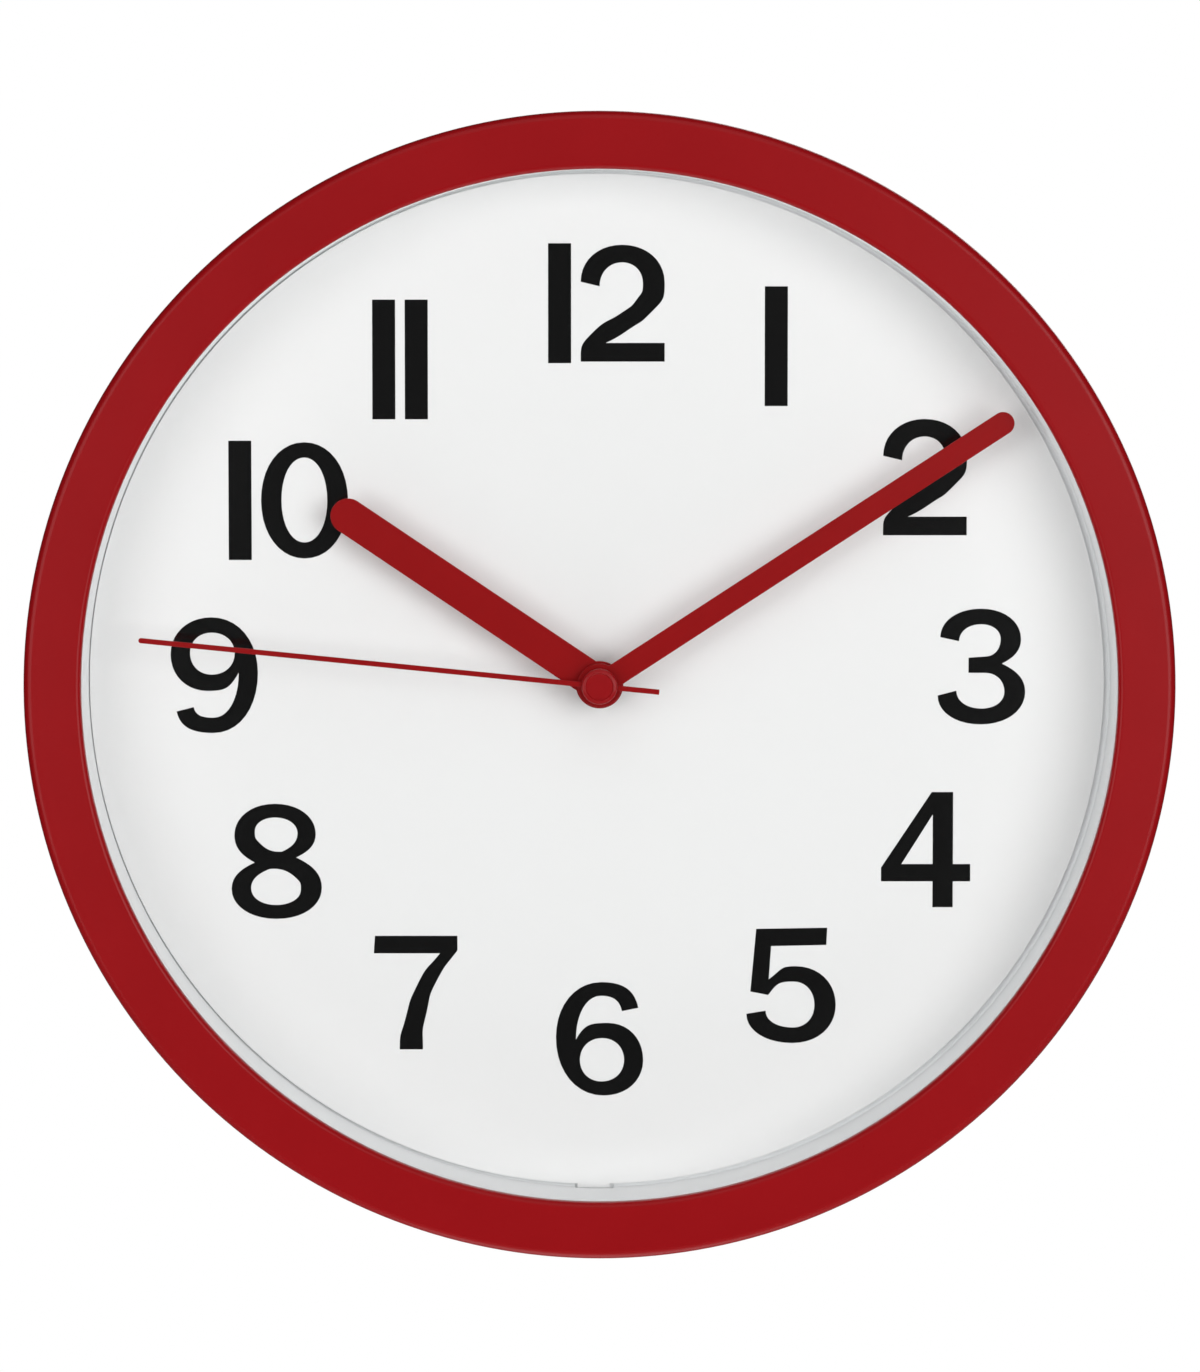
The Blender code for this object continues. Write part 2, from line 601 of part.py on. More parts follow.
def make_motion_work():
    module = 2 * MOTION_DISTANCE / (CANNON_TEETH + MINUTE_TEETH)
    bore = 0.75
    high = MINUTE_LEVEL + 1.3
    profile = [(1.6, high), (1.6, 16.6), (1.2, 16.6), (1.2, 14.3), (bore, 14.3), (bore, high)]
    minute_tube = turned("minute_tube", profile, BRASS, sides=16, closed=True)
    cannon = gear("cannon_leaves", CANNON_TEETH, module, 0, 16.1, 17.5, (0, 0), pinion=True, bore=1.0)
    join(minute_tube, cannon)

    at = MINUTE_AT
    bore = 0.95
    minute_phase = meshing_phase(0, CANNON_TEETH, MINUTE_TEETH, MOTION_ANGLE)
    teeth = MINUTE_TEETH
    wheel = gear("minute_wheel", teeth, module, minute_phase, 16.4, 17.2, at, bore=bore, kind=NATURAL)
    phase = meshing_phase(0, HOUR_TEETH, PINION_TEETH, MOTION_ANGLE)
    hour_module = 2 * MOTION_DISTANCE / (PINION_TEETH + HOUR_TEETH)
    leaves = gear("minute_leaves", PINION_TEETH, hour_module, phase, 16.9, 19.4, at, pinion=True, bore=bore)
    join(wheel, leaves)

    bore = 1.75
    wheel = tube("hour_wheel", 2.5, bore, 17.9, HOUR_LEVEL + 1.0, NATURAL, sides=16)
    join(wheel, gear("hour_teeth", HOUR_TEETH, hour_module, 0, 18.4, 19.2, (0, 0), bore=2.1))

    at = KNOB_AT
    shaft = 1.1
    profile = [(0, ROOF_IN + 0.7), (0.35, ROOF_IN + 0.7), (0.35, ROOF_IN - GAP), (shaft, ROOF_IN - GAP)]
    profile += [(shaft, 4.3), (4.6, 4.3), (5.0, 3.9), (5.0, 1.6), (4.6, 1.2), (0, 1.2)]
    knob = turned("setting_knob", profile, NATURAL, at, sides=16)
    phase = meshing_phase(minute_phase, MINUTE_TEETH, CANNON_TEETH, KNOB_ANGLE)
    join(knob, gear("knob_leaves", CANNON_TEETH, module, phase, 16.1, 17.5, at, pinion=True))


def make_electronics():
    board = rounded_box(16.3, -8.6, 25.8, 25.6, 0.8, 2)
    extruded("circuit_board", [board], BOARD_BACK, BOARD_FRONT, BOARD)
    chip_at = (21, 13)
    low = BOARD_FRONT + GAP
    profile = [(0, low + 1.2), (1.6, low + 1.0), (2.5, low + 0.3), (2.6, low), (0, low)]
    turned("chip", profile, RESIN, chip_at, sides=16)
    crystal = cylinder("quartz_crystal", 1.0, -3, 3, STEEL, sides=16)
    crystal.location = (22.5 * MM, 1 * MM, (low + 1.0) * MM)
    crystal.rotation_euler = (math.radians(90), 0, 0)


def ribbon(name, path, thickness, low, high, kind):
    """A bent strip of sheet: an open wall along the path, made thick."""
    mesh = bpy.data.meshes.new(name)
    points = [(x * MM, y * MM, z * MM) for z in (low, high) for x, y in path]
    count = len(path)
    mesh.from_pydata(points, [], [(i, i + 1, i + 1 + count, i + count) for i in range(count - 1)])
    strip = place(name, mesh, kind)
    solidify = strip.modifiers.new("thickness", "SOLIDIFY")
    solidify.thickness = thickness * MM
    solidify.offset = 0
    solidify.use_even_offset = True


def make_contacts():
    low, high = BOARD_FRONT + 0.2, BOARD_FRONT + 4.0
    wall = MOVEMENT - MOVEMENT_WALL - 0.35
    bulge = BATTERY_LENGTH / 2 + 0.4
    leaf = [(-24.5, wall), (BATTERY_Y - 2, bulge), (BATTERY_Y + 2, bulge), (-14.0, wall)]
    positive = [(x, y) for y, x in leaf] + [(wall, -6.5), (24.0, -5.5)]
    ribbon("positive_contact", positive, 0.3, low, high, STEEL)
    along = BAY_TOP + BAY_WALL + 0.5
    negative = [(-x, y) for y, x in leaf] + [(-wall, along), (19.0, along), (20.0, along + 2)]
    ribbon("negative_contact", negative, 0.3, low, high, STEEL)


def make_battery():
    half = BATTERY_LENGTH / 2
    shoulder = half - 1.3
    profile = [(0, half), (2.6, half), (2.75, half - 0.3), (2.75, shoulder)]
    profile += [(BATTERY_RADIUS - 0.8, shoulder), (BATTERY_RADIUS, shoulder - 0.8)]
    profile += [(BATTERY_RADIUS, 0.6 - half), (BATTERY_RADIUS - 0.6, -half), (0, -half)]
    battery = turned("battery", profile, CELL, sides=24)
    lying(battery, (0, BATTERY_Y), BATTERY_LEVEL)


THIRD_AT = polar(THIRD_DISTANCE, THIRD_ANGLE)
INTERMEDIATE_AT = polar(INTERMEDIATE_DISTANCE, INTERMEDIATE_ANGLE)
ROTOR_AT = polar(ROTOR_DISTANCE, ROTOR_ANGLE, INTERMEDIATE_AT)
MINUTE_AT = polar(MOTION_DISTANCE, MOTION_ANGLE)
KNOB_AT = polar(MOTION_DISTANCE, KNOB_ANGLE, MINUTE_AT)
INTERMEDIATE_PHASE = 0.0
STATOR_BACK = 10.5
BOARD_BACK = 7.0
BOARD_FRONT = 7.8
PLATE_POSTS = ((-23.2, -6.5), (14.4, -6.7), (-23.2, 12.5), (14.2, 15.0))
BOARD_POSTS = ((21, -5), (21, 22))

clear_scene()
parts = new_collection("wall_clock")
cutters = new_collection("wall_clock_cutters")
root = make_root()
make_case_ring()
make_lens()
make_dial()
make_pan()
make_screws()
make_hanger_plate()
make_hands()
make_movement_front()
make_movement_back()
make_middle_plate()
make_motor()
make_going_train()
make_motion_work()
make_electronics()
make_contacts()
make_battery()
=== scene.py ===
import math
import bmesh
import bpy
from mathutils import Matrix, Vector


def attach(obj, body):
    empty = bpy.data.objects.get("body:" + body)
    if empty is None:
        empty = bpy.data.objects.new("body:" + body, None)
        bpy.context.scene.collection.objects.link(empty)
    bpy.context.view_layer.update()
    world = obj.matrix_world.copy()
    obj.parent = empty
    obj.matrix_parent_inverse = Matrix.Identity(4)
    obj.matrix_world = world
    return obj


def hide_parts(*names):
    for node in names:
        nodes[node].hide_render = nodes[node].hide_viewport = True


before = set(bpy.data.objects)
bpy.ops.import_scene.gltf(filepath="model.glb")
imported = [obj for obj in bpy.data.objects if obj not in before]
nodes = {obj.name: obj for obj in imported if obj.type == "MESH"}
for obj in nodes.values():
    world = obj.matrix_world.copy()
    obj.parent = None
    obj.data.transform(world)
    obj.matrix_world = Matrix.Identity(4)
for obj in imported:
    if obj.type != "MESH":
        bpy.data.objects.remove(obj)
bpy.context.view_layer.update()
mm = 0.001

# Pieces are built in the clock's own axes, in mm: x right, y to 12 o'clock, z out of the wall.
hangDrop = 85.0
toFrame = Matrix.Translation((0, 0, -hangDrop * mm)) @ Matrix.Rotation(math.pi / 2, 4, "X")
roundSteps = 256
creaseAngle = 38.0


# Shader and geometry trees

class Wire:
    # One socket, so that node maths can be written as an expression.
    def __init__(self, tree, socket=None):
        self.tree = tree
        self.socket = socket

    def node(self, kind, settings=None, values=None, out=0):
        made = self.tree.nodes.new(kind)
        for name, value in (settings or {}).items():
            if name == "stops":
                for number, (at, colour) in enumerate(value):
                    stops = made.color_ramp.elements
                    stop = stops[number] if number < len(stops) else stops.new(at)
                    stop.position = at
                    stop.color = colour
            else:
                setattr(made, name, value)
        for key, value in (values or {}).items():
            if isinstance(value, Wire):
                self.tree.links.new(value.socket, made.inputs[key])
            else:
                made.inputs[key].default_value = value
        return Wire(self.tree, made.outputs[out])

    def maths(self, operation, *parts):
        return self.node("ShaderNodeMath", {"operation": operation}, dict(enumerate(parts)))

    def __add__(self, other):
        return self.maths("ADD", self, other)

    def __rsub__(self, other):
        return self.maths("SUBTRACT", other, self)

    def __mul__(self, other):
        return self.maths("MULTIPLY", self, other)

    def __truediv__(self, other):
        return self.maths("DIVIDE", self, other)

    __radd__ = __add__
    __rmul__ = __mul__


def noise(where, size, detail=2.0):
    # size is the width of one grain, in mm
    return where.node("ShaderNodeTexNoise", {}, {"Vector": where, "Scale": 1 / (size * mm), "Detail": detail})


def stretched(where, x, y, z):
    return where.node("ShaderNodeMapping", {}, {"Vector": where, "Scale": (x, y, z)})


def parts(where):
    # x, height from the clock's middle, depth
    middle = where.node("ShaderNodeMapping", {}, {"Vector": where, "Location": (0, 0, hangDrop * mm)})
    split = [middle.node("ShaderNodeSeparateXYZ", {}, {"Vector": middle}, out=n) for n in (0, 2, 1)]
    return split


def between(value, low, high):
    values = {"Value": value, "From Min": low, "From Max": high}
    return value.node("ShaderNodeMapRange", {"clamp": True}, values)


def wave(value, pitch):
    # a sine that repeats every pitch, in mm
    angle = value * (math.tau / (pitch * mm))
    return angle.maths("SINE", angle)


def tint(factor, first, second):
    values = {0: factor, 6: (*first, 1), 7: (*second, 1)}
    return factor.node("ShaderNodeMix", {"data_type": "RGBA"}, values, out=2)


def over(factor, first, second):
    # mixes a colour that is already a wire with a plain one
    values = {0: factor, 6: first, 7: (*second, 1)}
    return factor.node("ShaderNodeMix", {"data_type": "RGBA"}, values, out=2)


def bumped(height, depth):
    return height.node("ShaderNodeBump", {}, {"Height": height, "Strength": 1.0, "Distance": depth * mm})


def makeFinish(name, build):
    made = bpy.data.materials.new(name)
    made.use_nodes = True
    wire = Wire(made.node_tree)
    shader = made.node_tree.nodes["Principled BSDF"]
    for key, value in build(wire.node("ShaderNodeTexCoord", out="Object")).items():
        if isinstance(value, Wire):
            made.node_tree.links.new(value.socket, shader.inputs[key])
        else:
            shader.inputs[key].default_value = value
    return made


# Finishes

red = {"deep": (0.268, 0.0024, 0.0044), "bright": (0.306, 0.0036, 0.0062), "gloss": 0.26, "shine": 0.15}


def redPlastic(where):
    flow = noise(where, 22.0)
    grain = noise(where, 0.35, 3.0)
    peel = noise(where, 3.2)
    rubs = between(noise(stretched(where, 1, 1, 9), 2.2, 4.0), 0.68, 0.8)
    return {
        "Base Color": over(rubs * 0.12, tint(flow, red["deep"], red["bright"]), (0.42, 0.05, 0.05)),
        "Roughness": red["gloss"] + 0.05 * grain + 0.08 * rubs,
        "Specular IOR Level": red["shine"],
        "Normal": bumped(grain * 0.2 + peel, 0.006),
    }


handRed = {"deep": (0.262, 0.0018, 0.0028), "bright": (0.288, 0.0026, 0.0038), "gloss": 0.26, "shine": 0.15}


def redPaint(where):
    film = noise(where, 0.5, 3.0)
    flow = noise(where, 9.0)
    return {
        "Base Color": tint(flow, handRed["deep"], handRed["bright"]),
        "Roughness": handRed["gloss"] + 0.06 * film,
        "Specular IOR Level": handRed["shine"],
        "Normal": bumped(film, 0.002),
    }


def whitePlastic(where):
    grain = noise(where, 0.4, 3.0)
    flow = noise(where, 30.0)
    return {
        "Base Color": tint(flow, (0.885, 0.895, 0.905), (0.915, 0.923, 0.93)),
        "Roughness": 0.42 + 0.1 * grain,
        "Normal": bumped(grain, 0.01),
    }


def dialSheet(where):
    fibre = noise(stretched(where, 1, 1, 1.6), 0.3, 4.0)
    cloud = noise(where, 40.0)
    return {
        "Base Color": tint(cloud * 0.5 + fibre * 0.5, (0.845, 0.842, 0.84), (0.862, 0.859, 0.857)),
        "Roughness": 0.58 + 0.12 * fibre,
        "Normal": bumped(fibre, 0.004),
    }


def dialInk(where):
    film = noise(where, 0.25, 3.0)
    return {
        "Base Color": tint(film, (0.002, 0.002, 0.002), (0.0035, 0.0035, 0.0035)),
        "Roughness": 0.11 + 0.05 * film,
        "Normal": bumped(film, 0.001),
    }


def movementBlack(where):
    spark = noise(where, 0.45, 4.0)
    flow = noise(where, 14.0)
    return {
        "Base Color": tint(flow, (0.016, 0.016, 0.018), (0.026, 0.026, 0.029)),
        "Roughness": 0.46 + 0.16 * spark,
        "Normal": bumped(spark, 0.03),
    }


def naturalPlastic(where):
    grain = noise(where, 0.3, 3.0)
    flow = noise(where, 6.0)
    return {
        "Base Color": tint(flow, (0.70, 0.68, 0.62), (0.76, 0.745, 0.69)),
        "Roughness": 0.4 + 0.12 * grain,
        "Normal": bumped(grain, 0.006),
    }


def steelSheet(where):
    spangle = where.node("ShaderNodeTexVoronoi", {}, {"Vector": where, "Scale": 420.0}, out="Color")
    value = spangle.node("ShaderNodeSeparateColor", {}, {"Color": spangle})
    drawn = noise(stretched(where, 1, 1, 14), 0.6, 3.0)
    return {
        "Base Color": tint(value * 0.6 + drawn * 0.4, (0.50, 0.51, 0.52), (0.64, 0.645, 0.65)),
        "Metallic": 1.0,
        "Roughness": 0.26 + 0.1 * value + 0.12 * drawn,
        "Normal": bumped(drawn, 0.008),
    }


def brassTurned(where):
    grooves = wave(parts(where)[2], 0.18)
    stain = noise(where, 2.0, 3.0)
    return {
        "Base Color": tint(stain, (0.60, 0.40, 0.15), (0.74, 0.52, 0.22)),
        "Metallic": 1.0,
        "Roughness": 0.24 + 0.14 * stain,
        "Normal": bumped(grooves, 0.006),
    }


def copperWire(where):
    turns = wave(parts(where)[0], 0.16)
    lay = noise(where, 0.8, 2.0)
    return {
        # painted shade and painted highlight: the grooves between the wire turns are painted darker and the
        # crests lighter, following the same wave that bumps them
        "Base Color": tint(between(turns, -1, 1), (0.30, 0.09, 0.035), (0.68, 0.29, 0.12)),
        "Metallic": 1.0,
        "Roughness": 0.26 + 0.14 * lay,
        "Normal": bumped(turns, 0.04),
    }


def magnetDark(where):
    grain = noise(where, 0.2, 5.0)
    return {
        "Base Color": tint(grain, (0.055, 0.055, 0.06), (0.11, 0.11, 0.115)),
        "Metallic": 0.6,
        "Roughness": 0.5 + 0.2 * grain,
        "Normal": bumped(grain, 0.02),
    }


def boardGreen(where):
    tracks = between(wave(parts(where)[0], 1.3) + noise(where, 5.0) * 0.8, 0.72, 0.8)
    weave = noise(where, 0.5, 2.0)
    return {
        "Base Color": tint(tracks, (0.012, 0.10, 0.035), (0.035, 0.19, 0.07)),
        "Roughness": 0.3 + 0.1 * weave,
        "Normal": bumped(tracks + 0.2 * weave, 0.03),
    }


def resinBlack(where):
    skin = noise(where, 0.7, 2.0)
    return {
        "Base Color": tint(skin, (0.010, 0.010, 0.011), (0.02, 0.02, 0.021)),
        "Roughness": 0.18 + 0.14 * skin,
        "Normal": bumped(skin, 0.03),
    }


def cellSleeve(where):
    x = parts(where)[0]
    film = noise(where, 1.2, 3.0)
    band = between(x, 0.0118, 0.0121)
    return {
        "Base Color": tint(band, (0.025, 0.07, 0.19), (0.55, 0.40, 0.17)),
        "Metallic": 0.35,
        "Roughness": 0.24 + 0.1 * film,
        "Normal": bumped(film, 0.01),
    }


def floorPale(where):
    cloud = noise(where, 180.0)
    return {
        "Base Color": tint(cloud, (0.80, 0.805, 0.81), (0.83, 0.835, 0.84)),
        "Roughness": 0.6 + 0.1 * cloud,
    }


finishes = {
    build.__name__: makeFinish(build.__name__, build)
    for build in (
        redPlastic, redPaint, whitePlastic, dialSheet, dialInk, movementBlack, naturalPlastic, steelSheet,
        brassTurned, copperWire, magnetDark, boardGreen, resinBlack, cellSleeve, floorPale,
    )
}


glass = {"index": 1.45, "gloss": 0.5, "dust": 0.004, "roughness": 0.03, "clear": (0.995, 0.998, 0.997)}


def makeLensFinish():
    # clear glass: straight through, with a thin gloss that grows towards the edge of sight
    made = bpy.data.materials.new("lensClear")
    made.use_nodes = True
    tree = made.node_tree
    tree.nodes.remove(tree.nodes["Principled BSDF"])
    wire = Wire(tree)
    where = wire.node("ShaderNodeTexCoord", out="Object")
    dust = between(noise(where, 7.0, 4.0), 0.55, 0.8)
    through = wire.node("ShaderNodeBsdfTransparent", {}, {"Color": (*glass["clear"], 1)})
    gloss = wire.node("ShaderNodeBsdfGlossy", {}, {"Roughness": glass["roughness"], "Color": (1, 1, 1, 1)})
    facing = wire.node("ShaderNodeFresnel", {}, {"IOR": glass["index"]})
    # the gloss is left out where light leaves the glass, which would otherwise lose the slanting light
    outside = 1 - wire.node("ShaderNodeNewGeometry", out="Backfacing")
    amount = (facing * glass["gloss"] + dust * glass["dust"]) * outside
    mixed = wire.node("ShaderNodeMixShader", {}, {0: amount, 1: through, 2: gloss})
    tree.links.new(mixed.socket, tree.nodes["Material Output"].inputs["Surface"])
    return made


finishes["lensClear"] = makeLensFinish()
print("finishes made:", len(finishes))


# Shapes

def arc(centre, size, start, end, steps):
    turns = [math.radians(start + (end - start) * n / steps) for n in range(steps + 1)]
    return [(centre[0] + size * math.cos(a), centre[1] + size * math.sin(a)) for a in turns]


def polar(size, turn, centre=(0, 0)):
    a = math.radians(turn)
    return (centre[0] + size * math.cos(a), centre[1] + size * math.sin(a))


def circle(size, steps, centre=(0, 0)):
    return arc(centre, size, 0, 360, steps)[:-1]


def roundedBox(left, low, right, high, corner, steps=8):
    points = []
    for x, y, start in (
        (right - corner, high - corner, 0), (left + corner, high - corner, 90),
        (left + corner, low + corner, 180), (right - corner, low + corner, 270),
    ):
        points += arc((x, y), corner, start, start + 90, steps)
    return points


def newPiece(name, mesh):
    piece = bpy.data.objects.new(name, mesh)
    bpy.context.scene.collection.objects.link(piece)
    return piece


def tidy(mesh):
    work = bmesh.new()
    work.from_mesh(mesh)
    bmesh.ops.remove_doubles(work, verts=work.verts, dist=1e-7)
    bmesh.ops.dissolve_degenerate(work, edges=work.edges, dist=1e-7)
    bmesh.ops.recalc_face_normals(work, faces=work.faces)
    work.to_mesh(mesh)
    work.free()


def baked(piece):
    # turns the live modifiers into a plain mesh
    graph = bpy.context.evaluated_depsgraph_get()
    mesh = bpy.data.meshes.new_from_object(piece.evaluated_get(graph))
    piece.modifiers.clear()
    piece.data = mesh
    tidy(mesh)
    return piece


# Geometry Nodes

def newTree(name, inputs):
    tree = bpy.data.node_groups.new(name, "GeometryNodeTree")
    tree.interface.new_socket(name="Geometry", in_out="INPUT", socket_type="NodeSocketGeometry")
    for label, kind in inputs:
        tree.interface.new_socket(name=label, in_out="INPUT", socket_type=kind)
    tree.interface.new_socket(name="Geometry", in_out="OUTPUT", socket_type="NodeSocketGeometry")
    entry = tree.nodes.new("NodeGroupInput")
    return tree, {socket.name: Wire(tree, socket) for socket in entry.outputs if socket.name}


def endTree(tree, shape, material):
    whole = shape.node("GeometryNodeRealizeInstances", {}, {"Geometry": shape})
    painted = whole.node("GeometryNodeSetMaterial", {}, {"Geometry": whole, "Material": material})
    leave = tree.nodes.new("NodeGroupOutput")
    tree.links.new(painted.socket, leave.inputs["Geometry"])
    return tree


def grown(piece, tree, values):
    step = piece.modifiers.new("grow", "NODES")
    step.node_group = tree
    for socket in tree.interface.items_tree:
        if socket.in_out == "INPUT" and socket.name in values:
            step[socket.identifier] = values[socket.name]
    return baked(piece)


def makeSweepTree():
    inputs = [("Path radius", "NodeSocketFloat"), ("Steps", "NodeSocketInt")]
    inputs += [("Finish", "NodeSocketMaterial")]
    tree, given = newTree("sweep round", inputs)
    values = {"Resolution": given["Steps"], "Radius": given["Path radius"]}
    path = Wire(tree).node("GeometryNodeCurvePrimitiveCircle", {}, values)
    line = path.node("GeometryNodeMeshToCurve", {}, {"Mesh": given["Geometry"]})
    swept = path.node("GeometryNodeCurveToMesh", {}, {"Curve": path, "Profile Curve": line})
    return endTree(tree, swept, given["Finish"])


def makeRepeatTree():
    inputs = [("Count", "NodeSocketInt"), ("Finish", "NodeSocketMaterial")]
    tree, given = newTree("repeat round", inputs)
    spots = Wire(tree).node("GeometryNodeMeshLine", {}, {"Count": given["Count"], "Offset": (0, 0, 0)})
    number = spots.node("GeometryNodeInputIndex")
    turn = number * math.tau / given["Count"]
    turned = turn.node("ShaderNodeCombineXYZ", {}, {"Z": turn})
    values = {"Points": spots, "Instance": given["Geometry"], "Rotation": turned}
    return endTree(tree, spots.node("GeometryNodeInstanceOnPoints", {}, values), given["Finish"])


sweepTree = makeSweepTree()
repeatTree = makeRepeatTree()


def turned(name, profile, finish, closed=False, steps=roundSteps, centre=(0, 0)):
    # profile is (radius, z) in mm; it ends on the axis unless it is closed
    path = 10.0
    points = [((r - path) * mm, -z * mm, 0) for r, z in profile]
    edges = [(n, n + 1) for n in range(len(points) - 1)]
    if closed:
        edges.append((len(points) - 1, 0))
    mesh = bpy.data.meshes.new(name)
    mesh.from_pydata(points, edges, [])
    piece = newPiece(name, mesh)
    grown(piece, sweepTree, {"Path radius": path * mm, "Steps": steps, "Finish": finishes[finish]})
    piece.data.transform(Matrix.Translation((centre[0] * mm, centre[1] * mm, 0)))
    return piece


def repeated(piece, count, finish):
    return grown(piece, repeatTree, {"Count": count, "Finish": finishes[finish]})


def insetLoop(loop, depth):
    # moves every point of a closed outline to its left by depth
    moved = []
    for n, here in enumerate(loop):
        before = Vector(loop[n - 1])
        after = Vector(loop[(n + 1) % len(loop)])
        one = (Vector(here) - before).normalized()
        two = (after - Vector(here)).normalized()
        left = Vector((-one.y - two.y, one.x + two.x))
        if left.length < 1e-6:
            left = Vector((-one.y, one.x))
        left.normalize()
        lean = max(0.5, left.dot(Vector((-one.y, one.x))))
        moved.append((here[0] + left.x * depth / lean, here[1] + left.y * depth / lean))
    return moved


def counterClockwise(loop):
    area = sum(loop[n - 1][0] * here[1] - here[0] * loop[n - 1][1] for n, here in enumerate(loop))
    return loop if area > 0 else loop[::-1]


def plate(name, outlines, low, high, finish, edge=0.0, steps=3, turn=0.0):
    # the first outline is the outer one and the others are holes; edge rounds the rims
    turns = [math.radians(90 * n / steps) for n in range(steps + 1)]
    rounds = [(edge * (1 - math.sin(a)), edge * (1 - math.cos(a))) for a in turns]
    layers = [(depth, low + rise) for depth, rise in rounds]
    layers += [(depth, high - rise) for depth, rise in reversed(rounds)]
    if not edge:
        layers = [(0, low), (0, high)]
    work = bmesh.new()
    rims = ([], [])
    for number, outline in enumerate(outlines):
        loop = counterClockwise(outline)
        if number:
            loop = loop[::-1]
        rings = []
        for depth, z in layers:
            points = insetLoop(loop, depth) if depth else loop
            rings.append([work.verts.new((x * mm, y * mm, z * mm)) for x, y in points])
        for lower, upper in zip(rings, rings[1:]):
            for n in range(len(lower)):
                work.faces.new((lower[n - 1], lower[n], upper[n], upper[n - 1]))
        for rim, ring in zip(rims, (rings[0], rings[-1])):
            rim += [work.edges.get((ring[n - 1], ring[n])) for n in range(len(ring))]
    for rim in rims:
        bmesh.ops.triangle_fill(work, use_beauty=True, use_dissolve=False, edges=rim)
    bmesh.ops.recalc_face_normals(work, faces=work.faces)
    mesh = bpy.data.meshes.new(name)
    work.to_mesh(mesh)
    work.free()
    mesh.transform(Matrix.Rotation(math.radians(-turn), 4, "Z"))
    mesh.materials.append(finishes[finish])
    return newPiece(name, mesh)


def block(name, low, high, finish, edge=0.0):
    corners = [(low[0], low[1]), (high[0], low[1]), (high[0], high[1]), (low[0], high[1])]
    return plate(name, [corners], low[2], high[2], finish, edge, 2)


def rod(name, size, low, high, finish, centre=(0, 0), steps=32, edge=0.0):
    return plate(name, [circle(size, steps, centre)], low, high, finish, edge, 2)


def combine(piece, operation, *others):
    for other in others:
        step = piece.modifiers.new("step", "BOOLEAN")
        step.operation = operation
        step.solver = "EXACT"
        step.object = other
    baked(piece)
    for other in others:
        bpy.data.objects.remove(other)
    return piece


def merged(piece, *others):
    # puts separate shells of one piece in one mesh
    work = bmesh.new()
    for mesh in (piece.data, *(other.data for other in others)):
        work.from_mesh(mesh)
    work.to_mesh(piece.data)
    work.free()
    for other in others:
        bpy.data.objects.remove(other)
    return piece


def settle(piece, body, slot, *replaced):
    # shades the piece, moves it into the frame and hangs it on its body
    mesh = piece.data
    # the flat faces are marked last, because finding the sharp edges clears those marks
    mesh.set_sharp_from_angle(angle=math.radians(creaseAngle))
    for face in mesh.polygons:
        face.use_smooth = max(abs(part) for part in face.normal) < 0.99995
    mesh.transform(toFrame)
    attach(piece, body)
    if replaced:
        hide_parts(*replaced)
    return piece


# Case ring and lens

case = {
    "radius": 125.0, "depth": 43.5, "wall": 2.2, "lipRadius": 112.5, "lipRound": 1.2,
    "edgeRound": 1.8, "flange": 2.4, "screws": 6, "screwCircle": 118.2, "postRadius": 2.6,
}
lens = {"radius": 115.2, "thickness": 1.4, "gap": 0.3, "chamfer": 0.25}
dial = {"front": 24.3, "thickness": 0.8, "radius": 111.4, "shift": -0.6, "hole": 4.6,
        "tabWidth": 7.1, "tabReach": 0.85, "tabAt": -1.3, "inkThickness": 0.04}
pan = {"front": 23.2, "back": 21.2, "radius": 121.9, "collar": 114.4, "collarTop": 112.5, "collarFoot": 112.2,
       "ribs": 6, "ribBack": 16.2, "ringOuter": 45.4, "ringInner": 44.0, "fenceOuter": 29.9,
       "fenceInner": 28.5, "hookWidth": 10.0}
hanger = {"back": 2.4, "thickness": 1.2, "entry": 4.5, "slot": 2.2, "length": 9.0, "edge": 0.15,
          "screwAcross": 14.0, "screwUp": 80.0}
pilotRadius = 1.35
screwLength = 9.6
lensBack = case["depth"] - case["flange"] - lens["gap"] - lens["thickness"]
hangerScrewsAt = [(side * hanger["screwAcross"], hanger["screwUp"]) for side in (-1, 1)]


def makeCaseRing():
    size, depth, lip = case["radius"], case["depth"], case["lipRadius"]
    inner, under = size - case["wall"], depth - case["flange"]
    rim, outer, heel = case["lipRound"], case["edgeRound"], 0.6
    profile = arc((lip + rim, depth - rim), rim, 180, 90, 10)
    profile += arc((size - outer, depth - outer), outer, 90, 0, 14)
    profile += arc((size - heel, heel), heel, 0, -90, 4)
    profile += [(inner, 0), (inner, under - 1.5), (inner - 1.5, under), (lip, under)]
    ring = turned("caseRing", profile, "redPlastic", closed=True)
    at = (case["screwCircle"], 0)
    back = pan["front"] + 0.3
    posts = rod("posts", case["postRadius"], back, under + 1, "redPlastic", at, 28)
    combine(ring, "UNION", repeated(posts, case["screws"], "redPlastic"))
    pilots = rod("pilots", pilotRadius, back - 1, back + screwLength + 0.5, "redPlastic", at, 20)
    combine(ring, "DIFFERENCE", repeated(pilots, case["screws"], "redPlastic"))
    settle(ring, "case", "red_plastic", "case_ring")


def makeLens():
    front, size, cut = lensBack + lens["thickness"], lens["radius"], lens["chamfer"]
    profile = [(0, front), (size - cut, front), (size, front - cut)]
    profile += [(size, lensBack + cut), (size - cut, lensBack), (0, lensBack)]
    settle(turned("lensDisc", profile, "lensClear"), "case", "lens", "lens")


makeCaseRing()
makeLens()
print("case ring and lens made")


# Dial pan

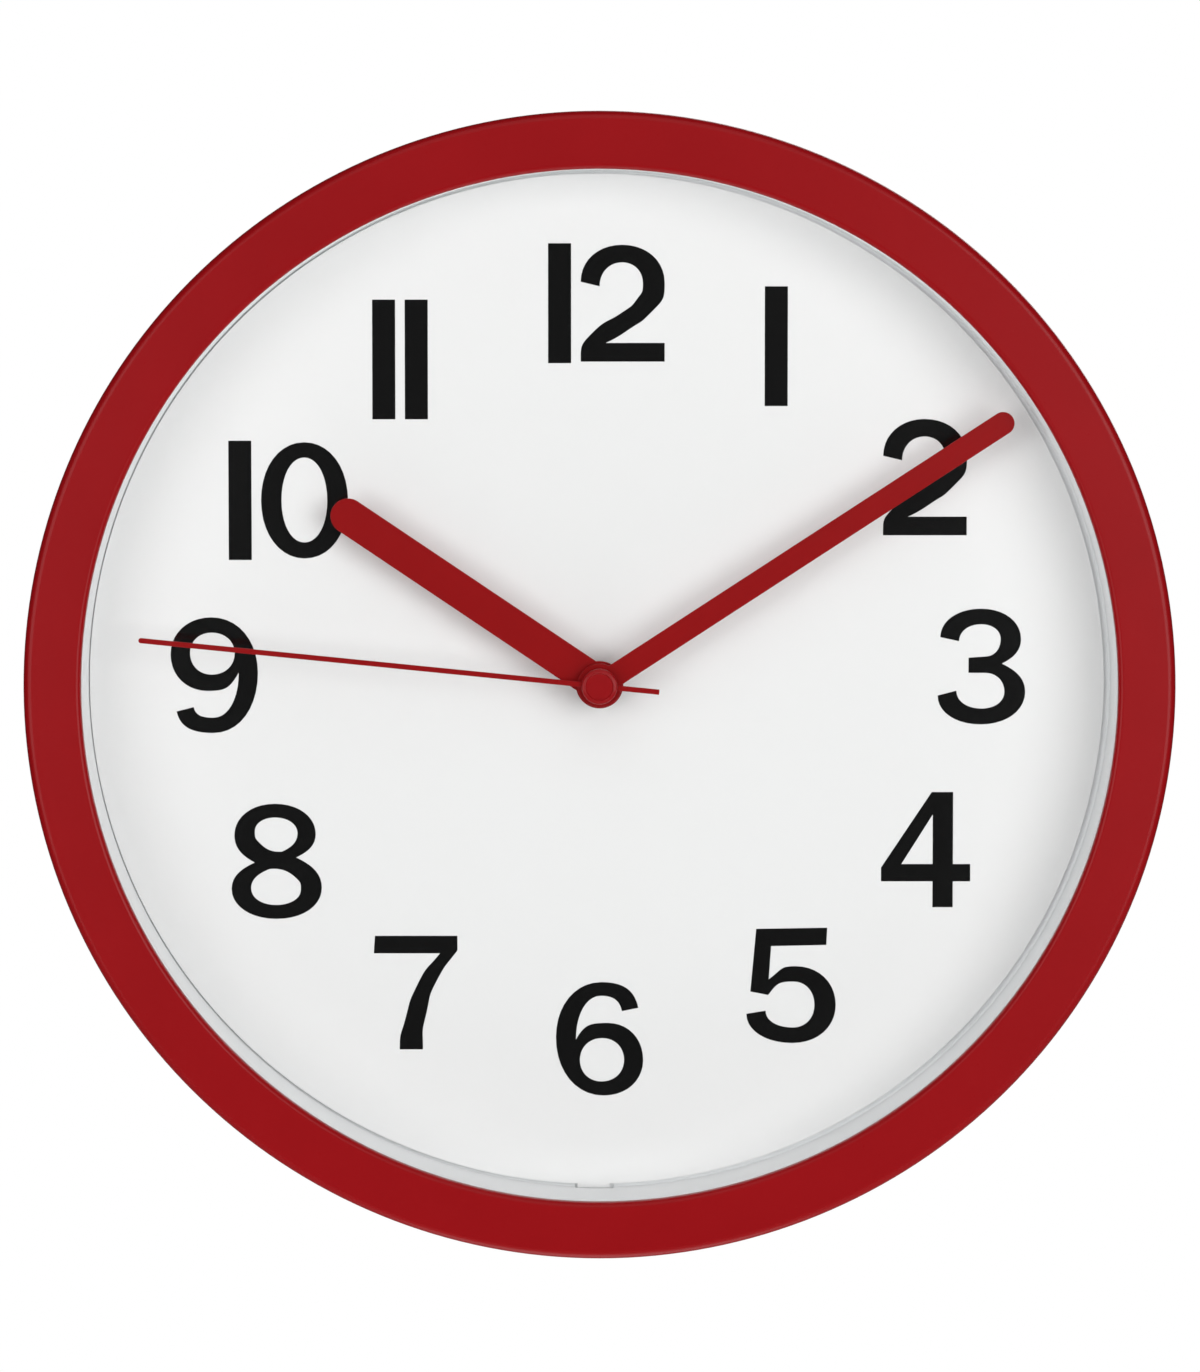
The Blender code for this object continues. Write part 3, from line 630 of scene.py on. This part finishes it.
def makePan():
    top, front, back = lensBack - 0.3, pan["front"], pan["back"]
    profile = [(pan["collar"], top), (pan["collar"], front), (pan["radius"], front), (pan["radius"], back)]
    profile += [(4.3, back), (4.3, front), (pan["collarFoot"] - 0.4, front), (pan["collarFoot"], front + 0.4)]
    profile += [(pan["collarTop"], top - 0.3), (pan["collarTop"] + 0.3, top)]
    tray = turned("dialPan", profile, "whitePlastic", closed=True)
    into, ribBack = back + 0.6, pan["ribBack"]
    outer, inner = pan["fenceOuter"], pan["fenceInner"]
    ring = [circle(pan["ringOuter"], 128), circle(pan["ringInner"], 128)]
    ring = plate("ring", ring, ribBack + 0.3, into, "whitePlastic", 0.25)
    fence = [roundedBox(-outer, -outer, outer, outer, 4), roundedBox(-inner, -inner, inner, inner, 3)]
    fence = plate("fence", fence, ribBack + 0.6, into, "whitePlastic", 0.25)
    rib = block("rib", (44.6, -0.7, ribBack), (113, 0.7, into), "whitePlastic", 0.25)
    ribs = repeated(rib, pan["ribs"], "whitePlastic")
    solid = [ring, fence, ribs]
    holes = []
    for at in hangerScrewsAt:
        solid.append(rod("post", 3.2, 3.9, into, "whitePlastic", at, 36))
        holes.append(rod("pilot", pilotRadius, 2.9, 3.9 + screwLength + 0.5, "whitePlastic", at, 20))
        hook = [(28.6, into), (30.4, into), (30.4, 3.4), (29.4, 2.4)]
        hook += [(28.4, 2.4), (26.6, 4.1), (26.6, 4.6), (28.6, 4.6)]
        half = pan["hookWidth"] / 2
        hook = plate("hook", [hook], -half, half, "whitePlastic", 0.12, 2)
        hook.data.transform(Matrix.Rotation(math.pi / 2, 4, "X"))
        if at[0] < 0:
            hook.data.transform(Matrix.Rotation(math.pi, 4, "Z"))
        solid.append(hook)
    combine(tray, "UNION", *solid)
    hole = rod("hole", 1.5, back - 1, front + 1, "whitePlastic", (case["screwCircle"], 0), 24)
    holes.append(repeated(hole, case["screws"], "whitePlastic"))
    low = (dial["tabAt"] - 4.1, -pan["collarFoot"] - 1.2, front - 0.1)
    high = (dial["tabAt"] + 4.4, -pan["collarFoot"] + 2, front + 2.2)
    holes.append(block("notch", low, high, "whitePlastic"))
    combine(tray, "DIFFERENCE", *holes)
    settle(tray, "case", "white_plastic", "dial_pan")


makePan()
print("dial pan made")


# Dial and numerals

def makeDial():
    size, front = dial["radius"], dial["front"]
    half = dial["tabWidth"] / 2
    reach = size + dial["tabReach"]
    left, right = dial["tabAt"] - half - dial["shift"], dial["tabAt"] + half - dial["shift"]
    first = math.degrees(math.asin(right / size)) - 90
    last = math.degrees(math.asin(left / size)) + 270
    outline = [(x + dial["shift"], y) for x, y in arc((0, 0), size, first, last, roundSteps)]
    outline += [(left + dial["shift"], -reach), (right + dial["shift"], -reach)]
    hole = circle(dial["hole"], 48, (dial["shift"], 0))
    disc = plate("dialDisc", [outline, hole], front - dial["thickness"], front, "dialSheet", 0.06, 2)
    settle(disc, "case", "dial_white", "dial")


# Each numeral is drawn in tenths of its height, y down from its top. A point is x, y and, where the line
# bends there, the way it runs on. A point given twice is a corner between a straight side and a bend.
right, left, down, up = (1, 0), (-1, 0), (0, 1), (0, -1)
glyphs = {
    "0": [
        [(0, 5, *up), (3.73, 0, *right), (7.47, 5, *down), (3.73, 10, *left)],
        [(1.75, 5, *up), (3.72, 1.31, *right), (5.69, 5, *down), (3.72, 8.62, *left)],
    ],
    "1": [[(0, -0.13), (1.97, -0.13), (1.97, 10.13), (0, 10.13)]],
    "2": [[
        (0, 3.16), (0, 3.16, *up), (3.55, 0, *right), (7.2, 3.25, *down), (5.97, 5.85, -0.7, 0.71),
        (4.05, 7.3, -0.82, 0.57), (2.13, 8.4), (7.2, 8.4), (7.2, 10), (0, 10), (0, 10, *up),
        (0.93, 7.6, 0.7, -0.71), (3.69, 5.69, 0.82, -0.57), (4.82, 4.65, 0.6, -0.8), (5.33, 3.28, *up),
        (3.55, 1.5, *left), (1.62, 3.55, *down), (1.62, 3.55),
    ]],
    "3": [[
        (0.21, 2.46), (0.21, 2.46, *up), (3.72, 0, *right), (7.16, 2.63, *down), (5.53, 4.74),
        (7.54, 7.18, *down), (3.72, 10, *left), (0, 7.5, *up), (0, 7.5), (1.61, 7.08), (1.61, 7.08, *down),
        (3.79, 8.63, *right), (5.75, 7.18, *up), (4.08, 5.54, *left), (4.08, 5.54), (2.65, 5.54),
        (2.65, 4.23),
        (4.08, 4.13), (4.08, 4.13, *right), (5.41, 2.63, *up), (3.72, 1.34, *left), (1.83, 2.8, *down),
        (1.83, 2.8),
    ]],
    "4": [
        [(0, 6.55), (4.35, 0), (6.2, 0), (6.2, 6.25), (7.7, 6.25), (7.7, 7.75), (6.2, 7.75), (6.2, 10),
         (4.45, 10), (4.45, 7.75), (0, 7.75)],
        [(4.45, 6.25), (4.45, 1.95), (1.75, 6.25)],
    ],
    "5": [[
        (0.84, 0.1), (6.98, 0), (6.9, 1.5), (2.13, 1.6), (1.93, 4.49), (1.93, 4.49, 0.8, -0.6),
        (4.24, 3.35, *right), (7.73, 6.73, *down), (4.0, 10.05, *left), (0, 7.5, *up), (0, 7.5),
        (1.66, 7.23), (1.66, 7.23, *down), (4.02, 8.7, *right), (5.89, 6.73, *up), (4.07, 4.69, *left),
        (1.88, 5.86, -0.6, 0.8), (1.88, 5.86), (0.34, 5.56),
    ]],
    "6": [
        [(7.13, 2.24), (7.13, 2.24, -0.2, -0.98), (3.93, 0, *left), (0, 4.83, *down), (4.12, 9.9, *right),
         (7.55, 6.79, *up), (4.49, 3.56, *left), (1.73, 5.0, -0.5, 0.87), (1.73, 5.0),
         (1.73, 5.0, *up), (3.88, 1.19, *right), (5.71, 2.53, 0.2, 0.98), (5.71, 2.53)],
        [(2.07, 6.79, *up), (4.0, 4.88, *right), (5.9, 6.79, *down), (3.95, 8.67, *left)],
    ],
    "7": [[
        (0.1, 0), (7.23, 0), (7.23, 1.27), (7.23, 1.27, -0.6, 0.8), (5.48, 3.82, -0.47, 0.88),
        (4.48, 6.96, -0.24, 0.97), (4.23, 9.9, *down), (4.23, 9.9), (2.22, 9.9), (2.22, 9.9, *up),
        (2.72, 7.2, 0.26, -0.97), (3.72, 4.33, 0.44, -0.9), (5.73, 1.52, 0.64, -0.77), (5.73, 1.52),
        (0, 1.52),
    ]],
    "8": [
        [(3.76, 0, *right), (7.28, 2.63, *down), (5.59, 4.66), (7.79, 7.28, *down), (3.88, 10, *left),
         (0, 7.4, *up), (2.0, 5.1), (0.26, 2.75, *up)],
        [(3.76, 1.19, *right), (5.71, 2.56, *down), (4.37, 4.15), (2.53, 3.49, -0.7, -0.7),
         (2.02, 2.39, *up)],
        [(3.27, 5.66), (5.59, 6.47, 0.7, 0.7), (5.98, 7.45, *down), (3.83, 8.79, *left), (1.68, 7.33, *up)],
    ],
    "9": [
        [(3.6, 0, *right), (7.57, 4.78, *down), (3.72, 10, *left), (0.55, 8.13, -0.2, -0.98), (0.55, 8.13),
         (2.02, 7.76), (2.02, 7.76, 0.2, 0.98), (3.72, 8.68, *right), (5.92, 4.78, *up), (5.92, 4.78),
         (5.92, 4.78, -0.5, 0.87), (3.23, 6.36, *left), (0.06, 3.21, *up)],
        [(3.6, 1.32, *right), (5.58, 3.09, *down), (3.6, 4.95, *left), (1.73, 3.09, *up)],
    ],
}
numerals = {
    "height": 25.5, "circle": 83.5, "gap": 2.1, "full": 0.58, "steps": 10,
    # small moves of each numeral from its place on the hour circle, in mm
    "nudge": {
        12: (1.5, -0.4), 1: (-3.1, 1.4), 2: (-1.0, 3.3), 3: (0.4, 3.4), 4: (-0.5, 4.7), 5: (0.5, 5.2),
        6: (0.0, 4.3), 7: (1.2, 3.4), 8: (1.2, 2.1), 9: (-1.2, 1.5), 10: (4.1, -1.8), 11: (-1.9, -1.5),
    },
}


def bend(start, end):
    # points from start up to end, leaving end out
    one, two = Vector(start[:2]), Vector(end[:2])
    if (two - one).length < 1e-6:
        return []
    if len(start) == 2 and len(end) == 2:
        return [tuple(one)]
    span, full = two - one, numerals["full"]
    reach = {}
    for name, point in (("out", start), ("in", end)):
        if len(point) == 4:
            way = Vector(point[2:]).normalized()
            reach[name] = way * max(0.0, span.dot(way)) * full
    first = one + reach.get("out", Vector((0, 0)))
    second = two - reach.get("in", Vector((0, 0)))
    if "out" not in reach:
        first = one + (second - one) * 0.4
    if "in" not in reach:
        second = two + (first - two) * 0.4
    points = []
    for n in range(numerals["steps"]):
        t = n / numerals["steps"]
        s = 1 - t
        points.append(tuple(one * s ** 3 + first * 3 * s * s * t + second * 3 * s * t * t + two * t ** 3))
    return points


def drawn(loop):
    points = []
    for n, point in enumerate(loop):
        points += bend(point, loop[(n + 1) % len(loop)])
    return points


def glyphWidth(letter):
    return max(x for x, y in drawn(glyphs[letter][0]))


def makeNumerals():
    size = numerals["height"] / 10
    gap = numerals["gap"] / size
    shells = []
    for hour, (moveX, moveY) in numerals["nudge"].items():
        letters = str(hour)
        whole = sum(glyphWidth(letter) for letter in letters) + gap * (len(letters) - 1)
        x, y = polar(numerals["circle"], 90 - 30 * hour)
        cursor = -whole / 2
        for letter in letters:
            loops = [
                [(x + moveX + (px + cursor) * size, y + moveY + (5 - py) * size) for px, py in drawn(loop)]
                for loop in glyphs[letter]
            ]
            low = dial["front"] + 0.005
            shells.append(plate(f"ink{hour}{letter}", loops, low, low + dial["inkThickness"], "dialInk"))
            cursor += glyphWidth(letter) + gap
    ink = merged(*shells)
    ink.name = "numeralsInk"
    settle(ink, "case", "dial_white")


makeDial()
makeNumerals()
print("dial and numerals made")


# Hands

hands = {
    "hour": {"turn": 303.95, "width": 7.7, "reach": 70.0, "boss": 5.2, "level": 30.8, "bore": 2.65,
             "thick": 0.6, "collar": 3.6, "below": 0.9, "above": 0.9},
    "minute": {"turn": 56.9, "width": 5.0, "reach": 107.3, "boss": 4.8, "level": 32.8, "bore": 1.75,
               "thick": 0.6, "collar": 2.7, "below": 0.7, "above": 0.9},
    "second": {"turn": 275.7, "width": 1.15, "reach": 101.0, "boss": 3.3, "level": 34.8, "bore": 0.65,
               "thick": 0.4, "collar": 1.6, "below": 0.4, "above": 0.2, "tail": 13.1},
}
handCap = {"low": 35.5, "radius": 3.9, "rim": 2.9, "shoulder": 0.5, "bore": 0.65}


def handOutline(hand):
    half, size = hand["width"] / 2, hand["boss"]
    neck = math.degrees(math.asin(half / size))
    points = arc((0, hand["reach"] - half), half, 0, 180, 24)
    if "tail" in hand:
        points += arc((0, 0), size, 90 + neck, 270 - neck, 24)
        points += [(-half, -hand["tail"]), (half, -hand["tail"])]
        points += arc((0, 0), size, 270 + neck, 450 - neck, 24)
    else:
        points += arc((0, 0), size, 90 + neck, 450 - neck, 48)
    return points


def makeHand(name, body, node):
    hand = hands[name]
    low, high = hand["level"], hand["level"] + hand["thick"]
    outlines = [handOutline(hand), circle(hand["bore"], 40)]
    blade = plate(name + "Hand", outlines, low, high, "redPaint", 0.12, 3, hand["turn"])
    rings = [circle(hand["collar"], 48), circle(hand["bore"], 40)]
    collar = plate("collar", rings, low - hand["below"], low + hand["above"], "redPaint", 0.12, 3)
    settle(combine(blade, "UNION", collar), body, "red_hand", node)


def makeCap():
    low, size, rim, bore = handCap["low"], handCap["radius"], handCap["rim"], handCap["bore"]
    shoulder = handCap["shoulder"]
    flat, crest = low + 1.1, low + 1.35
    profile = [(0, flat), (rim - 0.08, flat), (rim, flat + 0.05)]
    profile += [(rim + 0.08, crest - 0.04), (rim + 0.16, crest)]
    profile += arc((size - shoulder, crest - 0.12 - shoulder), shoulder, 75, 0, 6)
    profile += [(size, low), (bore, low), (bore, low + 0.8), (0, low + 0.8)]
    cap = turned("secondCap", profile, "redPlastic", steps=96)
    settle(cap, "second_group", "red_plastic", "second_cap")


makeHand("hour", "hour_group", "hour_hand")
makeHand("minute", "minute_group", "minute_hand")
makeHand("second", "second_group", "second_hand")
makeCap()
print("hands made")


# Screws and hanger

screw = {"head": 2.5, "headHeight": 1.6, "shaft": 1.05, "length": 9.6, "recess": 1.5, "recessDepth": 0.9,
         "recessWidth": 0.55, "pitch": 1.0, "thread": 1.27}


def makeThreadTree():
    inputs = [("Turns", "NodeSocketFloat"), ("Radius", "NodeSocketFloat"), ("Height", "NodeSocketFloat"),
              ("Ridge", "NodeSocketFloat"), ("Finish", "NodeSocketMaterial")]
    tree, given = newTree("screw thread", inputs)
    values = {"Resolution": 14, "Rotations": given["Turns"], "Start Radius": given["Radius"],
              "End Radius": given["Radius"], "Height": given["Height"]}
    path = Wire(tree).node("GeometryNodeCurveSpiral", {}, values)
    ridge = path.node("GeometryNodeCurvePrimitiveCircle", {}, {"Resolution": 3, "Radius": given["Ridge"]})
    values = {"Curve": path, "Profile Curve": ridge, "Fill Caps": True}
    return endTree(tree, path.node("GeometryNodeCurveToMesh", {}, values), given["Finish"])


threadTree = makeThreadTree()


def makeScrew(name, under, at):
    # a cross-head screw, driven forwards, with its head at the back
    back, tip = under - screw["headHeight"], under + screw["length"]
    size, shaft = screw["head"], screw["shaft"]
    profile = [(0, tip), (shaft, tip - 1.2), (shaft, under), (size - 0.1, under), (size, under - 0.1)]
    profile += [(size, back + 0.8)] + arc((size - 0.8, back + 0.8), 0.8, 0, -90, 5)[1:]
    profile += [(0, back)]
    made = turned(name, profile, "steelSheet", steps=36)
    half, arm = screw["recessWidth"] / 2, screw["recess"]
    cross = [(-half, -arm), (half, -arm), (half, -half), (arm, -half), (arm, half), (half, half),
             (half, arm), (-half, arm), (-half, half), (-arm, half), (-arm, -half), (-half, -half)]
    combine(made, "DIFFERENCE", plate("cross", [cross], back - 1, back + screw["recessDepth"], "steelSheet"))
    run = screw["length"] - 2.6
    thread = newPiece("thread", bpy.data.meshes.new("thread"))
    grown(thread, threadTree, {
        "Turns": run / screw["pitch"], "Radius": (screw["thread"] - 0.16) * mm, "Height": run * mm,
        "Ridge": 0.16 * mm, "Finish": finishes["steelSheet"],
    })
    thread.data.transform(Matrix.Translation((0, 0, (under + 0.8) * mm)))
    merged(made, thread)
    made.data.transform(Matrix.Translation((at[0] * mm, at[1] * mm, 0)))
    return made


def makeScrews():
    first = makeScrew("panScrews", pan["back"] - 0.3, (case["screwCircle"], 0))
    repeated(first, case["screws"], "steelSheet")
    settle(first, "case", "steel", *[f"pan_screw_{n + 1}" for n in range(case["screws"])])
    pair = [makeScrew("hangerScrews", 2.1, at) for at in hangerScrewsAt]
    settle(merged(*pair), "case", "steel", "hanger_screw_1", "hanger_screw_2")


def makeHanger():
    entry = (0, hangDrop - hanger["length"])
    neck = math.degrees(math.asin(hanger["slot"] / hanger["entry"]))
    keyhole = arc(entry, hanger["entry"], 90 + neck, 450 - neck, 48)
    keyhole += arc((0, hangDrop), hanger["slot"], 0, 180, 24)
    outlines = [roundedBox(-20, 68, 20, 92, 3, 10), keyhole]
    outlines += [circle(1.5, 28, at) for at in hangerScrewsAt]
    front = hanger["back"] + hanger["thickness"]
    sheet = plate("hangerPlate", outlines, hanger["back"], front, "steelSheet", hanger["edge"])
    settle(sheet, "case", "steel", "hanger_plate")


makeScrews()
makeHanger()
print("screws and hanger made")


# Movement, setting knob and battery

movement = {"half": 28.0, "back": 4.9, "front": 20.9, "split": 12.9, "wall": 1.2, "skin": 1.0, "edge": 0.5,
            "bayTop": -11.4, "bayWall": 1.0, "bush": 3.9, "bushBore": 2.75, "bushFront": 29.5}
thirdAt = polar(10.2, 60)
middleAt = polar(9.6, 150)
rotorAt = polar(6.72, 120, middleAt)
minuteAt = polar(9.0, 170)
knobAt = polar(9.0, 200, minuteAt)


def caseHalf(name, low, high, roomLow, roomHigh, bayLow, bayHigh):
    size, inside = movement["half"], movement["half"] - movement["wall"]
    outline = [roundedBox(-size, -size, size, size, 3)]
    shell = plate(name, outline, low, high, "movementBlack", movement["edge"], 4)
    top = movement["bayTop"]
    corner = (-inside, top + movement["bayWall"], roomLow)
    gears = block("room", corner, (inside, inside, roomHigh), "movementBlack")
    bay = block("bay", (-inside, -inside, bayLow), (inside, top, bayHigh), "movementBlack")
    return combine(shell, "DIFFERENCE", gears, bay)


def makeMovement():
    black = "movementBlack"
    split, roof = movement["split"], movement["front"] - movement["skin"]
    front = caseHalf("movementFront", split, movement["front"], split - 1, roof, split - 1, roof)
    bush = rod("bush", movement["bush"], roof + 0.5, movement["bushFront"], black, steps=64, edge=0.2)
    stud = rod("stud", 0.8, 15.9, roof + 0.5, black, minuteAt, 20)
    combine(front, "UNION", bush, stud)
    cuts = [rod("bore", movement["bushBore"], roof - 1, movement["bushFront"] + 1, black, steps=48)]
    cuts += [rod("bearing", 0.5, roof - 1, movement["front"] + 1, black, at, 16) for at in (thirdAt, knobAt)]
    settle(combine(front, "DIFFERENCE", *cuts), "case", "movement_plastic", "movement_front_case")

    top, floor = split - 0.3, movement["back"] + movement["skin"]
    below = movement["back"] - 1
    back = caseHalf("movementBack", movement["back"], top, floor, top + 1, below, top + 1)
    posts = [rod("post", 1.3, floor - 0.5, top, black, at, 20)
             for at in ((-23.2, -6.5), (14.4, -6.7), (-23.2, 12.5), (14.2, 15.0))]
    posts += [rod("post", 1.0, floor - 0.5, 6.7, black, at, 20) for at in ((21, -5), (21, 22))]
    combine(back, "UNION", *posts)
    inside = movement["half"] - movement["wall"]
    slotLow, slotHigh = movement["bayTop"] - 0.2, movement["bayTop"] + movement["bayWall"] + 0.2
    cuts = []
    for side in (-1, 1):
        low = (min(side * 25.8, side * inside), slotLow, 7.7)
        high = (max(side * 25.8, side * inside), slotHigh, top + 1)
        cuts.append(block("slot", low, high, black))
    for at in ((0, 0), thirdAt, middleAt, rotorAt):
        cuts.append(rod("bearing", 0.5, below, floor + 0.5, black, at, 16))
    cuts.append(rod("knobHole", 1.4, below, floor + 0.5, black, knobAt, 24))
    settle(combine(back, "DIFFERENCE", *cuts), "case", "movement_plastic", "movement_back_case")


knob = {"radius": 5.05, "ridge": 0.28, "ridges": 30, "low": 1.05, "high": 4.4, "dish": 0.1}


def makeKnobGrip():
    # a knurled grip round the head of the setting knob
    low, high, size = knob["low"], knob["high"], knob["radius"]
    floor = low + knob["dish"]
    profile = [(0, floor), (size - 1.6, floor), (size - 1.0, low), (size - 0.3, low)]
    profile += [(size, low + 0.3), (size, high - 0.2), (size - 0.2, high), (1.25, high), (1.25, low + 0.9)]
    profile += [(0, low + 0.9)]
    grip = turned("knobGrip", profile, "naturalPlastic", steps=96)
    ridge = rod("ridge", knob["ridge"], low + 0.35, high - 0.25, "naturalPlastic", (size, 0), 10)
    merged(grip, repeated(ridge, knob["ridges"], "naturalPlastic"))
    grip.data.transform(Matrix.Translation((knobAt[0] * mm, knobAt[1] * mm, 0)))
    settle(grip, "knob", "natural_plastic")


battery = {"radius": 7.25, "length": 50.5, "y": -19.15, "level": 12.3}


def makeBattery():
    half, size = battery["length"] / 2, battery["radius"]
    shoulder = half - 1.3
    sleeve = [(size - 1.5, shoulder + 0.05)] + arc((size - 0.6, shoulder - 0.55), 0.6, 90, 0, 5)
    sleeve += arc((size - 0.5, 0.55 - half), 0.5, 0, -90, 5) + [(size - 1.3, 0.05 - half)]
    sleeve += [(size - 1.3, 0.5 - half), (size - 0.4, 0.9 - half), (size - 0.4, shoulder - 0.6)]
    sleeve += [(size - 1.5, shoulder - 0.25)]
    metal = [(0, half), (2.45, half)] + arc((2.45, half - 0.3), 0.3, 90, 0, 4)[1:] + [(2.75, shoulder - 0.3)]
    metal += [(size - 0.45, shoulder - 0.7), (size - 0.45, 1.0 - half), (size - 1.35, 0.45 - half)]
    metal += [(size - 1.35, 0.2 - half), (size - 1.7, -half), (0, -half)]
    cell = turned("batterySleeve", sleeve, "cellSleeve", closed=True, steps=96)
    can = turned("batteryCan", metal, "steelSheet", steps=96)
    lie = Matrix.Translation((0, battery["y"] * mm, battery["level"] * mm))
    lie = lie @ Matrix.Rotation(math.pi / 2, 4, "Y")
    for piece in (cell, can):
        piece.data.transform(lie)
    settle(cell, "cell", "battery_jacket", "battery")
    settle(can, "cell", "steel")


makeMovement()
makeKnobGrip()
makeBattery()
print("movement, knob and battery made")


# Kept CAD pieces inside the movement

kept = {
    "naturalPlastic": ("middle_plate", "coil_bobbin", "intermediate_wheel", "second_wheel", "third_wheel",
                       "centre_wheel", "minute_wheel", "hour_wheel", "setting_knob"),
    "steelSheet": ("stator", "coil_core", "rotor_pinion", "second_shaft", "quartz_crystal",
                   "positive_contact", "negative_contact"),
    "brassTurned": ("minute_tube",),
    "copperWire": ("coil_winding",),
    "magnetDark": ("rotor_magnet",),
    "boardGreen": ("circuit_board",),
    "resinBlack": ("chip",),
}
for finish, names in kept.items():
    for name in names:
        for holder in nodes[name].material_slots:
            holder.material = finishes[finish]
print("kept pieces finished")


# Floor, light and camera

studio = {"floorDrop": 0.75, "floorSize": 3.4, "backdrop": (1.0, 1.0, 1.0), "sky": 0.08}
# Each lamp's place is in metres from the middle of the face: right, away from the wall (negative) and up.
lamps = {
    "keyRight": {"from": (0.78, -1.25, 0.12), "size": 1.1, "watts": 11.8},
    "fillLeft": {"from": (-0.8, -1.25, 0.05), "size": 1.1, "watts": 7.9},
    "rimLow": {"from": (0.0, -0.08, -0.68), "size": 0.5, "watts": 1.6},
    "behind": {"from": (0.55, 1.3, 0.75), "size": 1.2, "watts": 10.0},
    "softTop": {"from": (0.0, -1.0, 0.95), "size": 1.3, "watts": 4.5},
}
shot = {"away": 1.4, "raise": 5.0, "aimRight": 0.0001, "aimUp": 0.0008, "focal": 169.5}
middle = Vector((0, -case["depth"] * mm, -hangDrop * mm))


def makeStudio():
    mesh = bpy.data.meshes.new("floor")
    half, z = studio["floorSize"] / 2, -hangDrop * mm - studio["floorDrop"]
    corners = [(-half, -half, z), (half, -half, z), (half, half, z), (-half, half, z)]
    mesh.from_pydata(corners, [], [(0, 1, 2, 3)])
    mesh.materials.append(finishes["floorPale"])
    newPiece("floor", mesh)
    world = bpy.data.worlds.new("studio")
    bpy.context.scene.world = world
    world.use_nodes = True
    tree = world.node_tree
    wire = Wire(tree)
    lit = wire.node("ShaderNodeBackground", {}, {"Color": (1, 1, 1, 1), "Strength": studio["sky"]})
    seen = wire.node("ShaderNodeBackground", {}, {"Color": (*studio["backdrop"], 1), "Strength": 1.0})
    ray = wire.node("ShaderNodeLightPath", out="Is Camera Ray")
    mixed = wire.node("ShaderNodeMixShader", {}, {0: ray, 1: lit, 2: seen})
    tree.links.new(mixed.socket, tree.nodes["World Output"].inputs["Surface"])
    for name, lamp in lamps.items():
        light = bpy.data.lights.new(name, "AREA")
        light.shape = "DISK"
        light.size = lamp["size"]
        light.energy = lamp["watts"]
        holder = bpy.data.objects.new(name, light)
        bpy.context.scene.collection.objects.link(holder)
        spot = middle + Vector(lamp["from"])
        facing = (middle - spot).to_track_quat("-Z", "Y")
        holder.matrix_world = Matrix.Translation(spot) @ facing.to_matrix().to_4x4()


def makeCamera():
    camera = bpy.data.cameras.new("camera")
    camera.lens = shot["focal"]
    camera.clip_start = 0.01
    holder = bpy.data.objects.new("camera", camera)
    bpy.context.scene.collection.objects.link(holder)
    tilt = math.radians(shot["raise"])
    aim = middle + Vector((shot["aimRight"], 0, shot["aimUp"]))
    spot = aim + shot["away"] * Vector((0, -math.cos(tilt), math.sin(tilt)))
    facing = (aim - spot).to_track_quat("-Z", "Y")
    holder.matrix_world = Matrix.Translation(spot) @ facing.to_matrix().to_4x4()
    bpy.context.scene.camera = holder


makeStudio()
makeCamera()
bpy.context.scene.view_settings.view_transform = "Standard"
print("studio and camera made")
